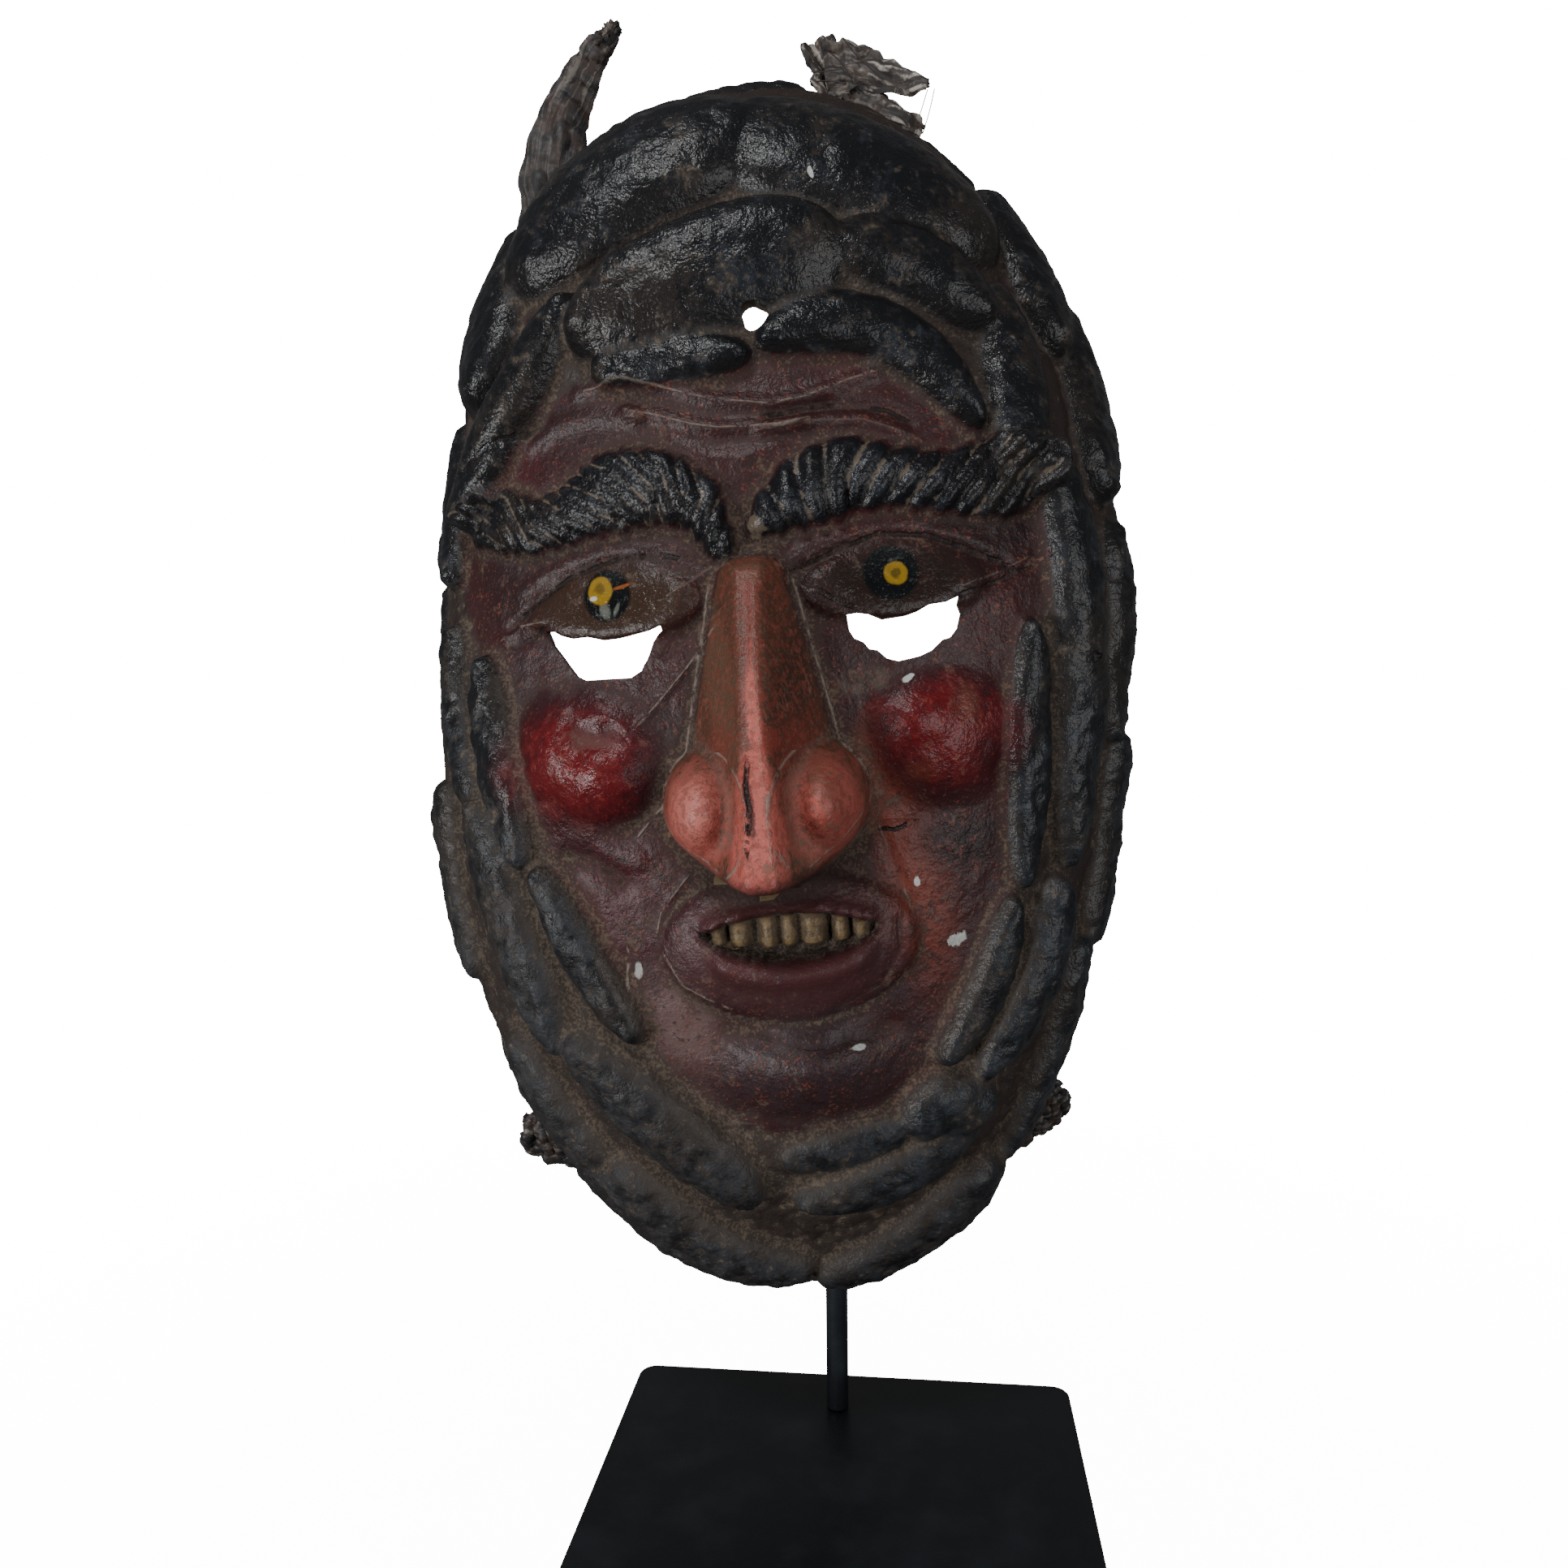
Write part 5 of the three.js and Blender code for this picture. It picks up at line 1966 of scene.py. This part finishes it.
        layers.speckle(Grain.SPOT, 0.50, nose, Paint.CORAL_DEEP, 0.45)
        layers.speckle(Grain.SPECK, 0.55, nose, Paint.DUST, 0.3)
        layers.lay(layers.share(stored["lip"], 0.3, 1.0, 0.3, 0.6), Paint.LIP)
        layers.lay(stored["gape"], Paint.GAPE)
        layers.lay(layers.share(tooth, 0.3, 0.8, 0.5, 0.9), Paint.TOOTH)
        layers.lay(layers.share(tooth, 0.75, 1.1, 1.2, 0.7), Paint.TOOTH_TIP)

    def wear(self, layers: PaintLayers, dust: Socket) -> None:
        """Lay dust in the hollows, specks of bare hide, flecks of painted highlight on the crests, then
        the eyes and the chips.

        Args:
            layers: The layers so far.
            dust: How dusty it is.
        """
        layers.lay(dust, Paint.FILM, self.veil)
        layers.speckle(Grain.SPECK, 0.50, dust, Paint.DUST, 0.38)
        layers.speckle(Grain.SPOT, 0.56, dust, Paint.DUST, 0.3)
        on_face = (layers.stored["skin"], -2.0, 4.0, 0.0, 0.75)
        face = layers.add("MapRange", on_face)
        layers.speckle(Grain.SPECK, 0.58, face, Paint.DUST_PINK, 0.7)
        # Blue-white flecks on what stands out: painted highlight
        layers.speckle(Grain.SPOT, 0.66, layers.stored["crest"], Paint.FLECK_BLUE, 0.35)
        layers.patches(TOP_PATCHES)

    def lines(self, layers: PaintLayers) -> tuple[Socket, Socket]:
        """Lay thin pale lines of rubbed wear and painted highlight, thin dark strokes of dark paint and
        painted shade, and the dusty grooves of the brows.

        Args:
            layers: The layers so far.

        Returns:
            Where the pale lines and where the dark lines are.
        """
        add, stored = layers.add, layers.stored
        made = []
        # Pale ink is partly painted highlight on raised folds, dark ink partly painted shade in grooves
        for ink, half, paint in (
            (Ink.PALE, self.line_half, Paint.EDGE), (Ink.DARK, self.dark_half, Paint.BLACK)
        ):
            away = add("Math", (stored[ink.value],), operation="ABSOLUTE")
            amount = stored[ink.value + "_amount"]
            broken = layers.share(layers.noise[Grain.LUMP], 0.36, 0.56, 0.5, amount)
            made.append(layers.share(away, half + 0.25, half - 0.15, 0.9, broken))
            layers.lay(made[-1], paint)
        strand = add("Math", (stored["strand"],), operation="FRACT")
        middle = add("Math", (strand, 0.5), operation="SUBTRACT")
        groove = add("Math", (middle,), operation="ABSOLUTE")
        amount = layers.share(stored["brow"], 0.02, 0.1, 0.2, 0.75)
        patchy = layers.share(layers.noise[Grain.LUMP], 0.46, 0.6, 0.4, amount)
        layers.lay(layers.share(groove, 0.40, 0.5, 0.35, patchy), Paint.DUST)
        return made[0], made[1]

    def roughness(self, layers: PaintLayers, dust: Socket, hair: Socket) -> Socket:
        """Find the roughness: glossier on upper locks, cheeks and eyes, and dull where dusty.

        Args:
            layers: The layers so far.
            dust: How dusty it is.
            hair: Where the hair paint lies.

        Returns:
            The roughness.
        """
        add, stored = layers.add, layers.stored
        upper = add("MapRange", (stored["front_z"], -60.0, 60.0, 0.04, 0.14))
        shiny = add("Math", (upper, hair), operation="MULTIPLY")
        cheek = add("Math", (stored["cheek"], 0.14), operation="MULTIPLY")
        eye = add("Math", (stored["eye"], 0.3, cheek), operation="MULTIPLY_ADD")
        off = add("Math", (shiny, eye), operation="ADD")
        base = add("MapRange", (dust, 0.0, 0.8, 0.42, 0.86))
        rough = add("Math", (base, off), operation="SUBTRACT")
        return add("Math", (layers.fray, 0.12, rough), operation="MULTIPLY_ADD")

    def bumps(self, layers: PaintLayers, hair: Socket, pale: Socket, dark: Socket) -> Socket:
        """Add up pebbled grain, crumpled hair paint and thin lines, as heights in millimetres.

        Args:
            layers: The layers so far.
            hair: Where the hair paint lies.
            pale: Where the pale lines are.
            dark: Where the dark lines are.

        Returns:
            The bumped normal.
        """
        height: Any = 0.0
        crumple = layers.add("Math", (hair, self.crumple), operation="MULTIPLY")
        for value, amount in (
            (layers.noise[Grain.SPOT], self.pebble), (layers.noise[Grain.SPECK], self.grit),
            (layers.noise[Grain.LUMP], crumple), (pale, self.pale_rise), (dark, self.dark_rise),
        ):
            inputs = (value, amount, height)
            height = layers.add("Math", inputs, operation="MULTIPLY_ADD")
        return layers.add("Bump", {"Height": height, "Distance": MM, "Strength": 1.0})


# Bare hide dried hard: dull and nearly black, brown where thin, pale where fibres show
@dataclass(frozen=True)
class DriedHide:
    """Bare dried hide at the torn flaps."""

    name: str = "dried_rawhide"
    dark: str = "232122"
    brown: str = "3a2c26"
    fibre: str = "857c73"
    fibre_share: float = 0.6
    rough: float = 0.55
    lump: float = 5.0
    grain: float = 1.1

    def make(self) -> Material:
        """Make the material, which reads how far along and across a flap a place is.

        Returns:
            The material.
        """
        material, add, finish = new_material(self.name)
        place = add("TexCoord", output="Object")
        lump, grain = (
            add("TexNoise", {"Vector": place, "Scale": 1.0 / (size * MM), "Detail": detail})
            for size, detail in ((self.lump, 5.0), (self.grain, 3.0))
        )
        browner = add("MapRange", (lump, 0.46, 0.62, 0.0, 0.9))
        inputs = {0: browner, 6: linear(self.dark), 7: linear(self.brown)}
        colour = add("Mix", inputs, 2, data_type="RGBA")
        tip, width = (add("Attribute", output="Fac", attribute_name=n) for n in ("tip", "across"))
        along = add("Math", (tip, 3.0), operation="MULTIPLY")
        strip = add("CombineXYZ", {"X": width, "Y": along})
        streak = add("TexNoise", {"Vector": strip, "Scale": 0.9, "Detail": 3.0})
        both = add("Math", (streak, 3.0, grain), operation="MULTIPLY_ADD")
        pale = add("MapRange", (both, 2.05, 2.5, 0.0, self.fibre_share))
        more = add("MapRange", (tip, 0.2, 1.0, 0.4, 1.6))
        flecks = add("Math", (pale, more), operation="MULTIPLY")
        inputs = {0: flecks, 6: colour, 7: linear(self.fibre)}
        height = add("Math", (lump, streak), operation="ADD")
        finish({
            "Base Color": add("Mix", inputs, 2, data_type="RGBA"), "Roughness": self.rough,
            "Normal": add("Bump", {"Height": height, "Distance": 0.4 * MM, "Strength": 0.8}),
        })
        return material


# Torn hide worn paler, with many fibres showing
FRAYED_HIDE = DriedHide("frayed_rawhide", "35302f", "4f433b", "b5aca3", fibre_share=0.9)
# Coarse hair: nearly black, horn-brown where it is thin
COARSE_HAIR = DriedHide("coarse_hair", "1f1b19", "3a302a", "8a8178", fibre_share=0.3)


# Black enamel sprayed on steel: satin, with a faint orange peel and a little dust
@dataclass(frozen=True)
class SatinSteel:
    """Black enamel sprayed on steel."""

    name: str = "satin_black_enamel"
    clean: str = "14171c"
    dusty: str = "252a30"
    peel: float = 0.9
    smudge: float = 14.0

    def make(self) -> Material:
        """Make the material.

        Returns:
            The material.
        """
        material, add, finish = new_material(self.name)
        place = add("TexCoord", output="Object")
        peel, dust = (
            add("TexNoise", {"Vector": place, "Scale": 1.0 / (size * MM), "Detail": detail})
            for size, detail in ((self.peel, 2.0), (self.smudge, 8.0))
        )
        share = add("MapRange", (dust, 0.45, 0.8, 0.0, 1.0))
        inputs = {0: share, 6: linear(self.clean), 7: linear(self.dusty)}
        finish({
            "Base Color": add("Mix", inputs, 2, data_type="RGBA"),
            "Roughness": add("MapRange", (dust, 0.3, 0.8, 0.38, 0.55)),
            "Normal": add("Bump", {"Height": peel, "Distance": 0.04 * MM}),
        })
        return material


def dress(piece: Piece, material: Material) -> None:
    """Give a piece one material all over."""
    piece.data.materials.clear()
    piece.data.materials.append(material)


# The studio


@dataclass
class Studio:
    """Pale floor, white surround, soft lights and the camera."""

    eye: Triple = (0.02093, -0.28249, 0.21179)
    right: Triple = (0.99361, 0.11224, -0.01149)
    up: Triple = (0.00368, 0.06957, 0.99757)
    forward: Triple = (-0.11276, 0.99124, -0.06871)
    pixels_across: float = 1932.0
    focal_pixels: float = 1450.0
    sensor: float = 36.0
    target: Triple = (-0.018, 0.0, 0.2)
    lights: tuple[tuple[str, Triple, float, float], ...] = (
        ("key", (-0.28, -0.66, 1.08), 0.16, 4.7),
        ("low_left", (-0.72, -0.75, 0.05), 0.30, 6.4),
        ("fill", (0.75, -0.8, 0.20), 0.6, 4.2),
    )
    room: float = 0.12
    white: float = 18.0
    floor_near: float = 0.1
    floor_far: float = 0.6
    floor_share: float = 0.8

    def camera(self) -> None:
        """Set the camera where the photograph was taken from."""
        data = bpy.data.cameras.new("view")
        data.sensor_width = self.sensor
        data.lens = self.sensor * self.focal_pixels / self.pixels_across
        data.clip_start, data.clip_end = 0.01, 50.0
        camera = bpy.data.objects.new("view", data)
        bpy.context.collection.objects.link(camera)
        columns = (self.right, self.up, tuple(-v for v in self.forward), self.eye)
        rows = [[column[k] for column in columns] for k in range(3)]
        camera.matrix_world = Matrix((*rows, (0.0, 0.0, 0.0, 1.0)))
        bpy.context.scene.camera = camera

    def light(self, name: str, place: Triple, size: float, watts: float) -> None:
        """Add one soft light that looks at the mask.

        Args:
            name: Name of the light.
            place: Where it stands, in metres.
            size: Its side in metres.
            watts: Its power.
        """
        data = bpy.data.lights.new(name, "AREA")
        data.size, data.energy = size, watts
        lamp = bpy.data.objects.new(name, data)
        bpy.context.collection.objects.link(lamp)
        lamp.location = place
        away = Vector(self.target) - Vector(place)
        lamp.rotation_euler = away.to_track_quat("-Z", "Y").to_euler()

    def surround(self) -> None:
        """Add a white surround that is only seen, and a pale floor that fades into it."""
        deselect_all()
        bpy.ops.mesh.primitive_uv_sphere_add(segments=32, ring_count=16, radius=6.0)
        ball = name_piece(bpy.context.object, "white_surround")
        dress(ball, self.glow("white_surround"))
        deselect_all()
        bpy.ops.mesh.primitive_circle_add(vertices=64, radius=5.5, fill_type="NGON")
        floor = name_piece(bpy.context.object, "pale_floor")
        dress(floor, self.floor_paint())
        for ray in ("diffuse", "glossy", "transmission", "shadow"):
            setattr(ball, f"visible_{ray}", False)
            setattr(floor, f"visible_{ray}", False)

    def glow(self, name: str) -> Material:
        """Make an even white glow, strong enough to come out white in the picture.

        Args:
            name: Name of the material.

        Returns:
            The material.
        """
        material, add, _ = new_material(name)
        nodes = material.node_tree.nodes
        nodes.remove(nodes["Principled BSDF"])
        glow = add("Emission", {"Color": (1.0, 1.0, 1.0, 1.0), "Strength": self.white})
        plug(material.node_tree, nodes["Material Output"], {"Surface": glow})
        return material

    def floor_paint(self) -> Material:
        """Make a matte pale floor near the stand that fades into the white surround.

        Returns:
            The material.
        """
        material = self.glow("pale_floor")
        tree = material.node_tree
        add = partial(add_node, tree)
        reach = add("VectorMath", (add("TexCoord", output="Object"),), "Value", operation="LENGTH")
        ends = (reach, self.floor_near, self.floor_far, self.floor_share, 1.0)
        mix = (
            add("MapRange", ends), add("BsdfDiffuse", {"Color": (0.9, 0.9, 0.9, 1.0)}),
            tree.nodes["Emission"].outputs[0],
        )
        plug(tree, tree.nodes["Material Output"], {"Surface": add("MixShader", mix)})
        return material

    def build(self) -> None:
        """Set up the whole studio."""
        self.camera()
        self.surround()
        for light in self.lights:
            self.light(*light)
        world = bpy.data.worlds.new("room")
        world.use_nodes = True
        background = {"Color": (1.0, 1.0, 1.0, 1.0), "Strength": self.room}
        plug(world.node_tree, world.node_tree.nodes["Background"], background)
        bpy.context.scene.world = world


def put_on_root(piece: Piece, nodes: Sequence[str] = ()) -> None:
    """Tie a finished piece to the object, and hide the nodes it stands for.

    Args:
        piece: The finished piece.
        nodes: CAD nodes that the piece stands for.
    """
    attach(piece, "root")
    if nodes:
        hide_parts(*nodes)
    stands_for = ", ".join(nodes) or "none"
    LOG.info("%s: %d faces, stands for %s", piece.name, len(piece.data.polygons), stands_for)


def main() -> None:
    """Build every piece, dress it and set up the studio."""
    logging.basicConfig(level=logging.INFO, format="%(name)s: %(message)s")
    hang, dome = Hang(), Dome()
    shell = MaskShell(hang, dome, HairRelief(dome), FaceRelief())
    mask = shell.build()
    dress(mask, PaintedHide().make())
    put_on_root(mask, ("mask",))
    dried, frayed = DriedHide().make(), FRAYED_HIDE.make()
    for flap in FLAPS:
        piece = flap.build(hang)
        dress(piece, frayed if flap.surface is Surface.FOLDED else dried)
        put_on_root(piece)
    hairs = LooseHairs().build(hang)
    dress(hairs, COARSE_HAIR.make())
    put_on_root(hairs)
    stand = Stand(hang, dome)
    steel = SatinSteel().make()
    parts = ((stand.plate(), "base_plate"), (stand.rod(), "post"), (stand.hanger(), "hanger"))
    for piece, node in parts:
        dress(piece, steel)
        put_on_root(piece, (node,))
    Studio().build()


if __name__ == "__main__":
    main()
